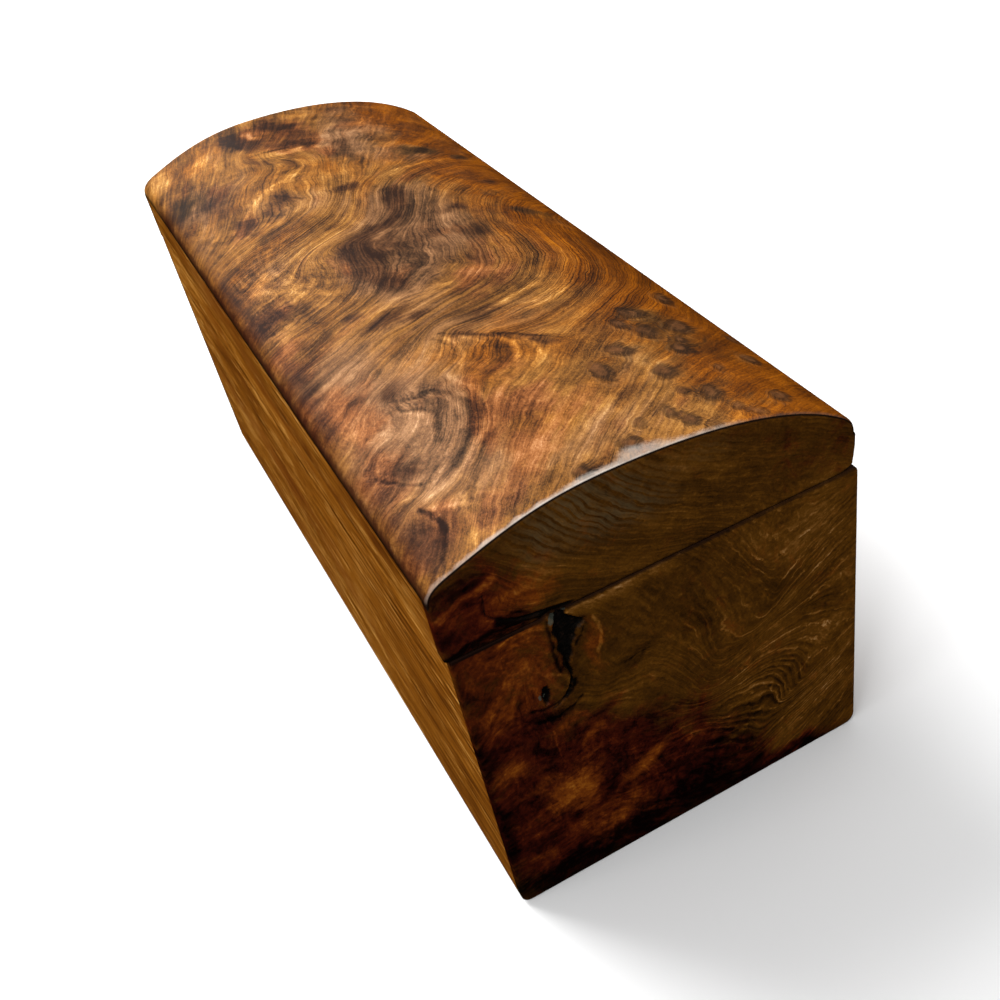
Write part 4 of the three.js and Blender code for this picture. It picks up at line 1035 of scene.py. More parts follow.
# on the rounded arches the figure runs on over the edge
over = np.clip(np.abs(co[:, 1]) - (L_END - ARCH_R), 0, None)
tc = top_c(co[:, 0], co[:, 2])
tr = 1255.0 - (co[:, 1] + B_END) * 6.25
phi = top_fig.at(top_fig.phi, tc, tr)
along = top_fig.at(top_fig.along, tc, tr)
ex, ey, em = eye_fields(tc, tr)
add_attr(skin, "phi", phi)
add_attr(skin, "along", along)
sc, sr = wander(tc, tr, 44, 8.0, 11)
dc, dr = wander(tc, tr, 24, 2.6, 23)
add_attr(skin, "smoke", np.clip(spots(sc, sr, TOP_SMOKE), 0, 1.4))
add_attr(skin, "light", np.clip(spots(sc, sr, TOP_LIGHT), 0, 1.2))
add_attr(skin, "red", np.clip(spots(sc, sr, TOP_RED), 0, 1.0))
add_attr(skin, "dark_line", lines(dc, dr, TOP_DARK_LINES))
add_attr(skin, "light_line", lines(dc, dr, TOP_LIGHT_LINES))
add_attr(skin, "eye_x", ex)
add_attr(skin, "eye_y", ey)
add_attr(skin, "eye", em)
add_attr(skin, "edge", (L_END - np.abs(co[:, 1])))  # mm in from the arches
add_attr(skin, "glue", co[:, 2] - dome_z(co[:, 0], SKIN_T))  # mm above the glue line under the skin
add_attr(skin, "across", tc)
# where a cross sheen (chatoyance) is painted into the colour of the top
ladder_sheen = spots(tc, tr, [(62, 520, 60, 44, 0, 1.0), (72, 640, 60, 46, 0, 1.0), (100, 560, 40, 60, 10, 0.6)])
add_attr(skin, "ladder_sheen", np.clip(ladder_sheen, 0, 1))
add_attr(skin, "ash", np.clip(spots(tc, tr, TOP_ASH), 0, 1))
add_attr(skin, "olive", np.clip(spots(sc, sr, TOP_OLIVE), 0, 1))
add_attr(skin, "gild", np.clip(spots(tc, tr, TOP_GILD), 0, 1))
add_attr(skin, "worn", np.clip(spots(tc, tr, TOP_WORN), 0, 1.2))
add_attr(skin, "crisp", np.clip(0.12 + spots(tc, tr, TOP_CRISP), 0, 1))
add_attr(skin, "margin", np.clip((tr - 90) / 90, 0, 1))

end_fig = Figure(END_STROKES, -1.0, 0, 540, 24, 612, 4.0, soft=8.0)

END_ORANGE = [
    (82, 225, 46, 50, 0, 0.55), (95, 182, 34, 9, -6, 0.6), (125, 128, 38, 28, 0, 0.75), (178, 245, 12, 46, 0, 0.9),
    (127, 336, 17, 13, 0, 0.8), (56, 370, 17, 20, 0, 0.9), (128, 450, 32, 40, 8, 1.15), (160, 540, 34, 36, 35, 0.85),
    (222, 464, 32, 12, -28, 1.25), (195, 482, 7, 5, 0, 0.7), (205, 520, 12, 40, -10, 0.5), (60, 530, 26, 8, 8, 0.5),
    (88, 412, 22, 6, 0, 0.6), (320, 562, 9, 9, 0, 0.5), (150, 370, 16, 14, 0, 0.6), (105, 388, 10, 20, 0, 0.3),
    (70, 280, 40, 20, 0, 0.3), (230, 555, 22, 18, 20, 0.45), (60, 465, 34, 6, 4, 0.5), (50, 560, 24, 6, 0, 0.4),
]
END_DARK = [
    (38, 85, 24, 18, 0, 0.55), (45, 138, 30, 12, 0, 0.4), (60, 85, 14, 16, 0, 0.3), (28, 130, 12, 40, 0, 0.25), (170, 206, 13, 18, 10, 0.75), (150, 256, 14, 22, 0, 0.4), (150, 575, 150, 13, 0, 0.6), (300, 578, 60, 14, 0, 0.4), (280, 225, 90, 50, 0, 0.24), (200, 562, 150, 28, 0, 0.4),
    (28, 300, 10, 120, 0, 0.55), (28, 480, 14, 110, 0, 0.7), (100, 350, 18, 18, 0, 0.6), (102, 385, 13, 22, 0, 0.6),
    (80, 440, 40, 16, 0, 0.5), (175, 450, 20, 50, 20, 0.45), (215, 405, 50, 20, 35, 0.5), (240, 440, 40, 30, 30, 0.35), (150, 560, 40, 14, 0, 0.4),
    (80, 505, 50, 14, 0, 0.6), (130, 570, 50, 18, 0, 1.0), (60, 585, 30, 10, 0, 0.6), (265, 548, 26, 20, -15, 1.0),
    (340, 520, 46, 28, 25, 0.7), (250, 556, 110, 24, 0, 0.6), (90, 585, 60, 12, 0, 0.5), (345, 572, 40, 18, 0, 0.7), (190, 590, 40, 12, 0, 0.7), (280, 588, 40, 12, 0, 0.8),
    (420, 594, 70, 7, 0, 0.7), (150, 292, 18, 18, 0, 0.5), (105, 305, 26, 12, 0, 0.7), (128, 318, 30, 6, 5, 0.6),
    (225, 290, 34, 7, -18, 0.45), (320, 290, 14, 12, 0, 0.45), (325, 320, 12, 16, 0, 0.4), (400, 445, 16, 12, 0, 0.35),
    (365, 470, 14, 24, 0, 0.4), (430, 585, 40, 8, 0, 0.5), (270, 500, 60, 26, 10, 0.55), (100, 480, 60, 8, 0, 0.4),
    (318, 95, 10, 22, 15, 0.35), (480, 180, 40, 8, 4, 0.25), (270, 395, 40, 60, 0, 0.25), (505, 90, 30, 6, 30, 0.35),
    (485, 130, 40, 26, 25, 0.3), (400, 70, 70, 10, 14, 0.25), (95, 562, 40, 9, 0, 0.4), (270, 600, 270, 9, 0, 1.0), (190, 575, 60, 12, 0, 0.5), (60, 320, 40, 30, 0, 0.4), (160, 345, 14, 16, 0, 0.3),
]
END_RED = [
    (60, 120, 60, 60, 0, 0.9), (70, 250, 70, 80, 0, 0.75), (80, 400, 80, 90, 0, 0.9), (110, 520, 110, 90, 0, 1.0),
    (230, 500, 80, 90, 0, 0.8), (330, 550, 70, 50, 0, 0.7), (480, 130, 50, 40, 20, 0.42), (175, 400, 50, 50, 0, 0.6),
    (430, 590, 80, 20, 0, 0.8), (400, 70, 60, 12, 14, 0.35), (310, 430, 60, 50, 0, 0.35),
]
# where a grey sheen (a reflection) is painted on the ends
END_SHEEN = [(200, 62, 62, 34, 5, 1.0), (250, 90, 44, 16, 10, 0.5), (140, 80, 20, 24, 0, 0.4), (330, 60, 40, 14, 8, 0.25)]
# lighter tones on the ends; the pale strip just under the seam, right of the void, here and in END_LIGHT_LINES, is a
# painted highlight
END_LIGHT = [
    (460, 235, 70, 60, -20, 0.4), (400, 200, 50, 30, 0, 0.25),
    (215, 183, 70, 7, 0, 0.9), (178, 210, 10, 22, 10, 0.6), (290, 130, 40, 14, -20, 0.35), (130, 120, 24, 8, 8, 0.5),
    (410, 345, 30, 30, 0, 0.35), (440, 520, 50, 16, -28, 0.5), (415, 555, 36, 12, -30, 0.6), (480, 450, 30, 60, -20, 0.3),
    (360, 430, 16, 20, 0, 0.4), (280, 470, 30, 10, -20, 0.35), (205, 400, 40, 8, 25, 0.2), (465, 250, 40, 30, -20, 0.25),
    (140, 178, 8, 8, 0, 0.8), (128, 445, 24, 30, 0, 0.5), (222, 462, 26, 7, -28, 0.9), (60, 365, 14, 16, 0, 0.5), (150, 530, 26, 20, 20, 0.4), (100, 240, 30, 18, 0, 0.3), (92, 206, 40, 22, 0, 0.35), (70, 124, 40, 26, 0, 0.4), (130, 136, 34, 14, 10, 0.3), (515, 400, 10, 120, 0, 0.2),
]
END_LIGHT_LINES = [
    ([(28, 113), (50, 104), (80, 97), (90, 96)], 4.6, 1.0), ([(185, 200), (191, 216), (190, 232), (182, 250)], 2.4, 1.0),
    ([(160, 179), (205, 178), (250, 175), (300, 173)], 4.0, 0.7), ([(60, 188), (85, 176), (110, 176), (128, 186)], 3.4, 0.6),
    ([(40, 235), (70, 200), (100, 188), (125, 200)], 2.6, 0.4), ([(125, 252), (138, 258), (146, 272), (138, 284)], 3.0, 0.8),
    ([(112, 335), (114, 360), (116, 390)], 1.4, 0.7), ([(60, 462), (100, 452)], 3.0, 0.5),
    ([(300, 455), (340, 466), (372, 490)], 1.6, 0.6), ([(310, 470), (345, 486), (370, 500)], 1.6, 0.5), ([(318, 446), (350, 450), (378, 470)], 1.6, 0.5),
    ([(345, 402), (372, 392), (400, 388), (420, 398)], 2.2, 0.7), ([(352, 418), (385, 408), (410, 412), (428, 430)], 1.8, 0.6),
    ([(365, 432), (390, 428), (405, 440), (412, 458)], 1.8, 0.6), ([(372, 446), (392, 450), (400, 466)], 1.6, 0.5),
    ([(360, 384), (400, 374), (440, 372), (470, 384), (495, 405)], 2.0, 0.6), ([(400, 352), (440, 350), (475, 362), (500, 385)], 2.0, 0.5),
    ([(395, 496), (430, 478), (470, 455), (512, 420)], 2.0, 0.6), ([(372, 545), (400, 525), (440, 500), (480, 480), (520, 446)], 2.6, 0.6),
    ([(400, 570), (440, 540), (480, 512), (520, 478)], 2.0, 0.5), ([(455, 560), (490, 540), (520, 515)], 1.8, 0.5),
    ([(434, 454), (450, 440), (470, 428)], 2.0, 0.6), ([(350, 240), (372, 250), (392, 278)], 1.6, 0.4), ([(180, 355), (200, 376), (228, 395)], 2.0, 0.6),
    ([(368, 205), (366, 225), (374, 245)], 1.6, 0.4), ([(440, 312), (480, 280), (515, 262)], 2.0, 0.5),
    ([(415, 330), (450, 305), (478, 287)], 2.0, 0.6), ([(448, 346), (488, 316), (515, 300)], 2.0, 0.6), ([(398, 302), (428, 277), (452, 262)], 1.8, 0.5),
    ([(470, 256), (500, 234), (518, 223)], 1.8, 0.45), ([(330, 292), (345, 284), (353, 297)], 1.6, 0.5), ([(385, 246), (400, 263), (408, 285)], 1.6, 0.5),
    ([(345, 373), (370, 354), (400, 342)], 2.0, 0.6), ([(352, 394), (384, 374), (420, 362)], 1.8, 0.55), ([(440, 396), (470, 391), (495, 403)], 1.8, 0.5),
    ([(360, 216), (375, 233), (380, 256)], 1.6, 0.45), ([(430, 255), (450, 241), (470, 232)], 1.6, 0.4), ([(455, 425), (480, 412), (505, 405)], 1.8, 0.45), ([(300, 312), (306, 300), (340, 296)], 1.4, 0.4),
    ([(465, 200), (480, 235), (500, 262)], 1.4, 0.35), ([(205, 120), (240, 108), (262, 92)], 2.0, 0.4), ([(190, 318), (210, 318), (240, 306), (280, 300)], 1.8, 0.35),
]
END_DARK_LINES = [
    ([(60, 113), (74, 110), (73, 124), (72, 135), (84, 149)], 3.0, 0.6), ([(84, 147), (96, 158), (118, 162), (150, 168)], 4.6, 1.1), ([(88, 148), (104, 146), (120, 160), (150, 164)], 3.4, 0.8), ([(16, 167), (50, 164), (90, 162), (130, 166), (165, 169)], 4.2, 1.0),
    ([(150, 275), (143, 292), (118, 301), (95, 293)], 3.4, 0.9), ([(155, 303), (140, 315), (112, 318), (95, 310)], 3.4, 0.8),
    ([(133, 178), (132, 200), (132, 230), (138, 252)], 3.0, 0.7), ([(176, 204), (168, 216), (158, 228)], 2.6, 0.6),
    ([(20, 168), (60, 166), (110, 168), (150, 171)], 2.4, 0.8), ([(200, 262), (230, 256), (262, 262)], 1.6, 0.3),
    ([(85, 150), (100, 158), (128, 168)], 5.0, 1.0), ([(345, 300), (372, 290), (398, 300)], 1.6, 0.4),
    ([(385, 312), (400, 318), (420, 310)], 1.6, 0.4), ([(196, 400), (216, 408), (236, 402)], 2.0, 0.4),
    ([(62, 104), (88, 110), (92, 132), (108, 148)], 2.0, 0.5), ([(100, 262), (102, 285), (108, 300)], 2.0, 0.5),
    ([(430, 412), (448, 438), (442, 462)], 1.8, 0.5), ([(210, 288), (240, 282), (262, 288)], 2.4, 0.5),
]
END_CHIPS = [(139, 179, 5, 7, 0, 1.0), (152, 174, 4, 3, 0, 0.7), (107, 277, 2.2, 4, 0, 1.0), (113, 281, 2.5, 5, 10, 0.5)]


def dress_end(ob, near, lid):
    p = coords_mm(ob)
    c, r = end_c(p[:, 0]), end_r(p[:, 2])
    if not near:  # the far end: the same log, mirrored and drawn out
        c = 520.0 - c
        c, r = 260 + (c - 260) * 0.93 + 0.05 * (r - 300), 40 + (r - 40) * 0.96
    add_attr(ob, "phi", end_fig.at(end_fig.phi, c, r))
    add_attr(ob, "along", end_fig.at(end_fig.along, c, r))
    k = 1.0 if near else 0.7
    sc, sr = wander(c, r, 44, 10.0, 31)
    dc, dr = wander(c, r, 18, 3.0 if lid else 1.8, 43)
    add_attr(ob, "orange", np.clip(spots(sc, sr, END_ORANGE), 0, 1.2) * k)
    add_attr(ob, "smoke", np.clip(spots(sc, sr, END_DARK), 0, 1.3) * k)
    add_attr(ob, "red", np.clip(spots(sc, sr, END_RED), 0, 1.1))
    add_attr(ob, "painted_sheen", np.clip(spots(c, r, END_SHEEN), 0, 1))
    add_attr(ob, "light", np.clip(spots(c, r, END_LIGHT), 0, 1.1) * k)
    add_attr(ob, "light_line", lines(dc, dr, END_LIGHT_LINES) * k)
    add_attr(ob, "dark_line", lines(dc, dr, END_DARK_LINES) * k)
    chip = spots(c, r, END_CHIPS) if near else np.zeros_like(c)
    add_attr(ob, "chip", np.clip(chip, 0, 1))
    face = -B_END if near else B_END
    if lid:
        face = -L_END if near else L_END
        arch = seg_dist(p[:, 0], p[:, 2], arch_edge)
    else:
        arch = np.full(len(p), 50.0)
    deep = np.abs(p[:, 1] - face)
    if near:
        pit = near_lid_relief(p[:, 0], p[:, 2]) if lid else near_body_relief(p[:, 0], p[:, 2])
    else:
        pit = np.zeros(len(p))
    add_attr(ob, "pit", np.clip(pit / (0.4 if lid else 0.9), 0, 1))
    add_attr(ob, "arch", arch)
    add_attr(ob, "rise", p[:, 2] - SEAM)
    add_attr(ob, "fold", spots(c, r, [(345, 480, 60, 46, 10, 1.0), (400, 430, 44, 36, 0, 0.8), (440, 500, 60, 40, -30, 0.7)]))
    add_attr(ob, "feather", np.clip(spots(c, r, [(410, 420, 130, 150, 0, 1.0), (430, 260, 110, 90, 0, 0.7), (330, 130, 120, 50, 0, 0.35), (300, 480, 60, 40, 0, 0.6), (460, 540, 80, 50, -30, 0.8), (200, 110, 80, 40, 0, 0.3)]), 0, 1))


for tag in ("near", "far"):
    dress_end(pieces[f"{tag}_end_burl"], tag == "near", False)
    dress_end(pieces[f"lid_{tag}_end_burl"], tag == "near", True)

for node in ("lid_top_burl", "lid_front_rail", "lid_near_end_burl", "lid_far_end_burl"):
    skew(pieces[node])
# ---------------------------------------------------------------- materials
class Nodes:
    """A short way to write a node tree."""

    def __init__(self, name):
        self.mat = bpy.data.materials.new(name)
        self.mat.use_nodes = True
        self.t = self.mat.node_tree
        self.t.nodes.clear()
        self.out = self.t.nodes.new("ShaderNodeOutputMaterial")

    def put(self, sock, value):
        if isinstance(value, bpy.types.NodeSocket):
            self.t.links.new(value, sock)
        elif value is not None:
            if sock.type == "RGBA" and not isinstance(value, (int, float)) and len(value) == 3:
                value = (*value, 1.0)
            sock.default_value = value

    def node(self, kind, **props):
        n = self.t.nodes.new(kind)
        for k, v in props.items():
            setattr(n, k, v)
        return n

    def math(self, op, a, b=None, c=None, clamp=False):
        n = self.node("ShaderNodeMath", operation=op, use_clamp=clamp)
        for i, v in enumerate((a, b, c)):
            if v is not None:
                self.put(n.inputs[i], v)
        return n.outputs[0]

    def add(self, a, b):
        return self.math("ADD", a, b)

    def sub(self, a, b):
        return self.math("SUBTRACT", a, b)

    def mul(self, a, b):
        return self.math("MULTIPLY", a, b)

    def mad(self, a, b, c):
        return self.math("MULTIPLY_ADD", a, b, c)

    def attr(self, name, vector=False):
        n = self.node("ShaderNodeAttribute", attribute_name=name)
        return n.outputs["Vector" if vector else "Fac"]

    def xyz(self, x, y, z):
        n = self.node("ShaderNodeCombineXYZ")
        for i, v in enumerate((x, y, z)):
            self.put(n.inputs[i], v)
        return n.outputs[0]

    def split(self, v):
        n = self.node("ShaderNodeSeparateXYZ")
        self.put(n.inputs[0], v)
        return n.outputs[0], n.outputs[1], n.outputs[2]

    def place(self):
        """Where the point is on the object, in metres."""
        return self.node("ShaderNodeTexCoord").outputs["Object"]

    def scaled(self, v, s):
        n = self.node("ShaderNodeVectorMath", operation="MULTIPLY")
        self.put(n.inputs[0], v)
        n.inputs[1].default_value = s if not isinstance(s, (int, float)) else (s, s, s)
        return n.outputs[0]

    def vadd(self, a, b):
        n = self.node("ShaderNodeVectorMath", operation="ADD")
        self.put(n.inputs[0], a)
        self.put(n.inputs[1], b)
        return n.outputs[0]

    def noise(self, v, scale=1.0, detail=2.0, rough=0.5, distortion=0.0, dims="3D", color=False, lac=2.0):
        n = self.node("ShaderNodeTexNoise", noise_dimensions=dims)
        self.put(n.inputs["Vector"], v)
        n.inputs["Scale"].default_value = scale
        n.inputs["Detail"].default_value = detail
        n.inputs["Roughness"].default_value = rough
        n.inputs["Lacunarity"].default_value = lac
        n.inputs["Distortion"].default_value = distortion
        return n.outputs["Color" if color else "Fac"]

    def voronoi(self, v, scale=1.0, feature="F1", out="Distance", random=1.0, smooth=0.0):
        n = self.node("ShaderNodeTexVoronoi", feature=feature)
        self.put(n.inputs["Vector"], v)
        n.inputs["Scale"].default_value = scale
        n.inputs["Randomness"].default_value = random
        if feature == "SMOOTH_F1":
            n.inputs["Smoothness"].default_value = smooth
        return n.outputs[out]

    def remap(self, v, a, b, c=0.0, d=1.0, smooth=False, clamp=True):
        n = self.node("ShaderNodeMapRange", interpolation_type="SMOOTHSTEP" if smooth else "LINEAR")
        if not smooth:
            n.clamp = clamp
        for i, x in enumerate((v, a, b, c, d)):
            self.put(n.inputs[i], x)
        return n.outputs[0]

    def ramp(self, fac, stops, mode="LINEAR"):
        n = self.node("ShaderNodeValToRGB")
        n.color_ramp.interpolation = mode
        e = n.color_ramp.elements
        while len(e) < len(stops):
            e.new(0.5)
        for k, (pos, col) in enumerate(stops):
            e[k].position = pos
            e[k].color = (*col, 1.0) if not isinstance(col, (int, float)) else (col, col, col, 1.0)
        self.put(n.inputs[0], fac)
        return n.outputs[0]

    def mix(self, fac, a, b, blend="MIX", clamp=True):
        n = self.node("ShaderNodeMix", data_type="RGBA", blend_type=blend)
        n.clamp_factor = clamp
        self.put(n.inputs[0], fac)
        self.put(n.inputs[6], a)
        self.put(n.inputs[7], b)
        return n.outputs[2]

    def bump(self, height, strength=0.5, distance=0.0002, normal=None):
        n = self.node("ShaderNodeBump")
        n.inputs["Strength"].default_value = strength
        n.inputs["Distance"].default_value = distance
        self.put(n.inputs["Height"], height)
        if normal is not None:
            self.put(n.inputs["Normal"], normal)
        return n.outputs[0]

    def surface(self, **inputs):
        s = self.node("ShaderNodeBsdfPrincipled")
        for k, v in inputs.items():
            self.put(s.inputs[k.replace("_", " ")], v)
        self.t.links.new(s.outputs[0], self.out.inputs[0])
        return s


def srgb(r, g, b):
    """A colour as seen on a screen (0 to 255), made linear."""
    return tuple((c / 255 / 12.92) if c / 255 <= 0.04045 else ((c / 255 + 0.055) / 1.055) ** 2.4 for c in (r, g, b))


def dress(ob, mat):
    ob.data.materials.clear()
    ob.data.materials.append(mat)


def unit(w, v, mid=0.5, gain=1.0):
    """A noise value made signed about its middle."""
    return w.mad(v, gain, -mid * gain)


def burl_top():
    w = Nodes("burl_top_finish")
    p = w.place()
    phi, along = w.attr("phi"), w.attr("along")
    warp = w.noise(w.scaled(p, 235), 1.0, 2, 0.5, color=True)
    w1, w2, w3 = w.split(warp)
    fine_warp = w.noise(w.scaled(p, 720), 1.0, 1, 0.5, color=True)
    v1, v2, v3 = w.split(fine_warp)
    # eyes push the growth lines aside
    ex, ey, em = w.attr("eye_x"), w.attr("eye_y"), w.attr("eye")
    q = w.math("SQRT", w.add(w.mul(ex, ex), w.mul(ey, ey)))
    q = w.add(q, w.add(w.mul(unit(w, v3), 0.5), w.mul(unit(w, w3), 1.2)))
    bow = w.mul(w.remap(q, 1.9, 0.2, smooth=True), em)
    f = w.mul(phi, 0.2)
    big = w.noise(w.scaled(p, 115), 1.0, 2, 0.5, distortion=0.8)
    f = w.add(f, unit(w, w1, gain=1.1))
    f = w.add(f, w.mul(unit(w, big), 2.2))
    f = w.add(f, unit(w, v1, gain=0.18))
    f = w.add(f, w.mul(bow, 1.5))
    a = w.mul(along, 0.16)
    a = w.add(a, unit(w, w2, gain=1.5))

    broad = w.noise(w.xyz(w.mul(f, 0.15), w.mul(a, 0.055), 2.3), 1.0, 3, 0.55)
    ringy = w.noise(w.xyz(w.mul(f, 1.05), w.mul(a, 0.045), 5.1), 1.0, 3, 0.7)
    strength = w.noise(w.xyz(w.mul(f, 0.16), w.mul(a, 0.13), 9.7), 1.0, 2, 0.5)
    spacing = w.noise(w.xyz(w.mul(f, 0.31), w.mul(a, 0.03), 14.2), 1.0, 1, 0.5)
    fr = w.math("FRACT", w.add(f, w.mul(spacing, 2.6)))
    late = w.mul(w.remap(fr, 0.62, 0.92, smooth=True), w.remap(fr, 1.0, 0.93))
    fr2 = w.math("FRACT", w.add(w.mul(f, 1.93), w.mul(spacing, 3.7)))
    late2 = w.mul(w.remap(fr2, 0.55, 0.90, smooth=True), w.remap(fr2, 1.0, 0.92))
    ls = w.remap(strength, 0.34, 0.66, 0.12, 1.0)
    hair = w.add(w.mul(late, ls), w.mul(late2, w.remap(strength, 0.62, 0.40, 0.05, 0.5)))
    crisp = w.attr("crisp")
    fibre = w.noise(w.xyz(w.mul(f, 3.4), w.mul(a, 0.42), 1.0), 1.0, 4, 0.7)
    grain = w.noise(w.scaled(p, 2300), 1.0, 3, 0.65)
    speck = w.noise(w.xyz(w.mul(f, 9.0), w.mul(a, 3.0), 4.0), 1.0, 2, 0.6)
    # painted sheen (chatoyance): patches, and ripples that run across the lines
    patch = w.noise(w.xyz(w.mul(f, 0.12), w.mul(a, 0.17), 21.0), 1.0, 3, 0.6)
    cloud = w.noise(w.scaled(p, 75), 1.0, 4, 0.6)
    ripple = w.noise(w.xyz(w.mul(f, 0.10), w.mul(w.add(a, w.mul(f, 0.22)), 0.62), 31.0), 1.0, 2, 0.55)
    ladder_sheen = w.attr("ladder_sheen")
    rip_k = w.mad(ladder_sheen, 0.20, 0.15)

    torn = w.noise(w.scaled(p, 330), 1.0, 4, 0.65, distortion=0.6)
    flow = w.noise(w.xyz(w.mul(f, 0.45), w.mul(a, 0.16), 3.0), 1.0, 4, 0.65)
    smoke_n = w.remap(w.add(w.attr("smoke"), w.add(unit(w, flow, gain=1.5), unit(w, torn, gain=0.9))), 0.08, 1.55)
    light_n = w.remap(w.add(w.attr("light"), w.add(unit(w, flow, gain=-1.2), unit(w, torn, gain=0.8))), 0.10, 1.30)
    patchy = w.noise(w.scaled(p, 190), 1.0, 3, 0.6)
    dl = w.remap(w.add(w.attr("dark_line"), w.add(unit(w, fibre, gain=0.5), unit(w, patchy, gain=0.8))), 0.20, 0.95, smooth=True)
    ll = w.remap(w.add(w.attr("light_line"), w.add(unit(w, fibre, gain=0.5), unit(w, patchy, gain=-0.7))), 0.15, 1.0, smooth=True)

    t = w.add(unit(w, broad, gain=0.50), 0.50)
    t = w.add(t, unit(w, ringy, gain=0.60))
    t = w.add(t, unit(w, patch, gain=0.40))
    t = w.add(t, unit(w, cloud, gain=0.30))
    t = w.add(t, w.mul(unit(w, ripple), rip_k))
    t = w.add(t, unit(w, fibre, gain=0.34))
    t = w.add(t, unit(w, grain, gain=0.34))
    t = w.add(t, unit(w, speck, gain=0.14))
    t = w.add(t, w.mul(w.mul(hair, crisp), -0.30))
    t = w.add(t, w.mul(light_n, 0.19))
    t = w.add(t, w.mul(smoke_n, -0.22))
    t = w.add(t, w.mul(ll, 0.20))
    t = w.add(t, w.mul(dl, -0.24))
    # fine crinkled marks across the lines, stronger in the ladder field: painted glints of the cross sheen
    crinkle = w.noise(w.xyz(w.mul(f, 2.3), w.mul(w.add(a, w.mul(f, 0.7)), 2.4), 8.0), 1.0, 3, 0.6, distortion=0.5)
    t = w.add(t, w.mul(w.sub(w.remap(crinkle, 0.52, 0.70), w.remap(crinkle, 0.48, 0.34)), w.mad(ladder_sheen, 0.08, 0.05)))

    t = w.mad(t, 1.5, -0.312)
    calm = w.remap(w.attr("across"), 365.0, 470.0, 0.0, 0.34, smooth=True)  # plainer wood along the back edge
    t = w.add(t, w.mul(w.mad(t, -1.0, 0.53), calm))
    base = w.ramp(t, [(0.0, srgb(34, 19, 8)), (0.22, srgb(82, 50, 20)), (0.42, srgb(126, 81, 33)), (0.60, srgb(158, 105, 45)), (0.78, srgb(190, 135, 66)), (1.0, srgb(232, 188, 120))])
    red = w.ramp(t, [(0.0, srgb(30, 13, 6)), (0.22, srgb(78, 41, 18)), (0.42, srgb(122, 70, 33)), (0.60, srgb(156, 96, 50)), (0.78, srgb(188, 128, 80)), (1.0, srgb(222, 174, 128))])
    gold = w.ramp(t, [(0.0, srgb(30, 12, 2)), (0.22, srgb(70, 34, 6)), (0.42, srgb(112, 57, 2)), (0.60, srgb(150, 81, 3)), (0.78, srgb(187, 109, 6)), (1.0, srgb(224, 150, 36))])
    ash = w.remap(w.add(w.attr("ash"), w.add(unit(w, flow, gain=0.9), unit(w, broad, gain=0.9))), 0.2, 1.0, smooth=True)
    base = w.mix(w.mul(ash, 0.85), base, w.ramp(t, [(0.0, srgb(34, 22, 14)), (0.22, srgb(78, 54, 34)), (0.42, srgb(118, 82, 54)), (0.60, srgb(150, 108, 74)), (0.78, srgb(182, 138, 100)), (1.0, srgb(222, 184, 146))]))
    hue = w.noise(w.scaled(p, 95), 1.0, 3, 0.6)
    hue2 = w.noise(w.xyz(w.mul(f, 0.18), w.mul(a, 0.05), 41.0), 1.0, 2, 0.55)
    red_k = w.remap(w.add(w.attr("red"), w.add(unit(w, hue, gain=2.2), w.add(unit(w, hue2, gain=1.8), unit(w, flow, gain=0.8)))), 0.24, 1.05, smooth=True)
    col = w.mix(red_k, base, red)
    gk = w.add(w.remap(w.attr("across"), 304.0, 452.0, 0.0, 1.25, smooth=True), w.add(unit(w, hue, gain=-1.5), unit(w, hue2, gain=1.2)))
    gk = w.sub(gk, w.mul(ash, 0.35))
    gk = w.add(gk, w.mul(w.attr("gild"), 0.7))
    col = w.mix(w.math("MULTIPLY", gk, 1.0, clamp=True), col, gold)
    col = w.mix(w.math("MULTIPLY", smoke_n, 0.80, clamp=True), col, w.ramp(t, [(0.0, srgb(42, 21, 10)), (0.4, srgb(90, 53, 28)), (0.8, srgb(146, 98, 58))]))

    olive = w.remap(w.add(w.attr("olive"), w.add(unit(w, flow, gain=0.9), unit(w, torn, gain=0.7))), 0.15, 1.0, smooth=True)
    col = w.mix(w.mul(olive, 0.68), col, w.ramp(w.mad(olive, -0.12, t), [(0.0, srgb(34, 22, 8)), (0.4, srgb(84, 58, 22)), (0.8, srgb(138, 100, 50))]))
    # dark margin along the front edge
    lean = w.add(w.attr("across"), unit(w, torn, gain=16.0))
    margin = w.mul(w.remap(lean, 34.0, 4.0, smooth=True), w.attr("margin"))
    col = w.mix(w.mul(margin, w.mad(fibre, 0.5, 0.12)), col, srgb(74, 34, 14))
    margin = w.mul(w.remap(lean, 9.0, 1.0, smooth=True), w.attr("margin"))
    col = w.mix(w.mul(margin, 0.80), col, srgb(44, 16, 8))

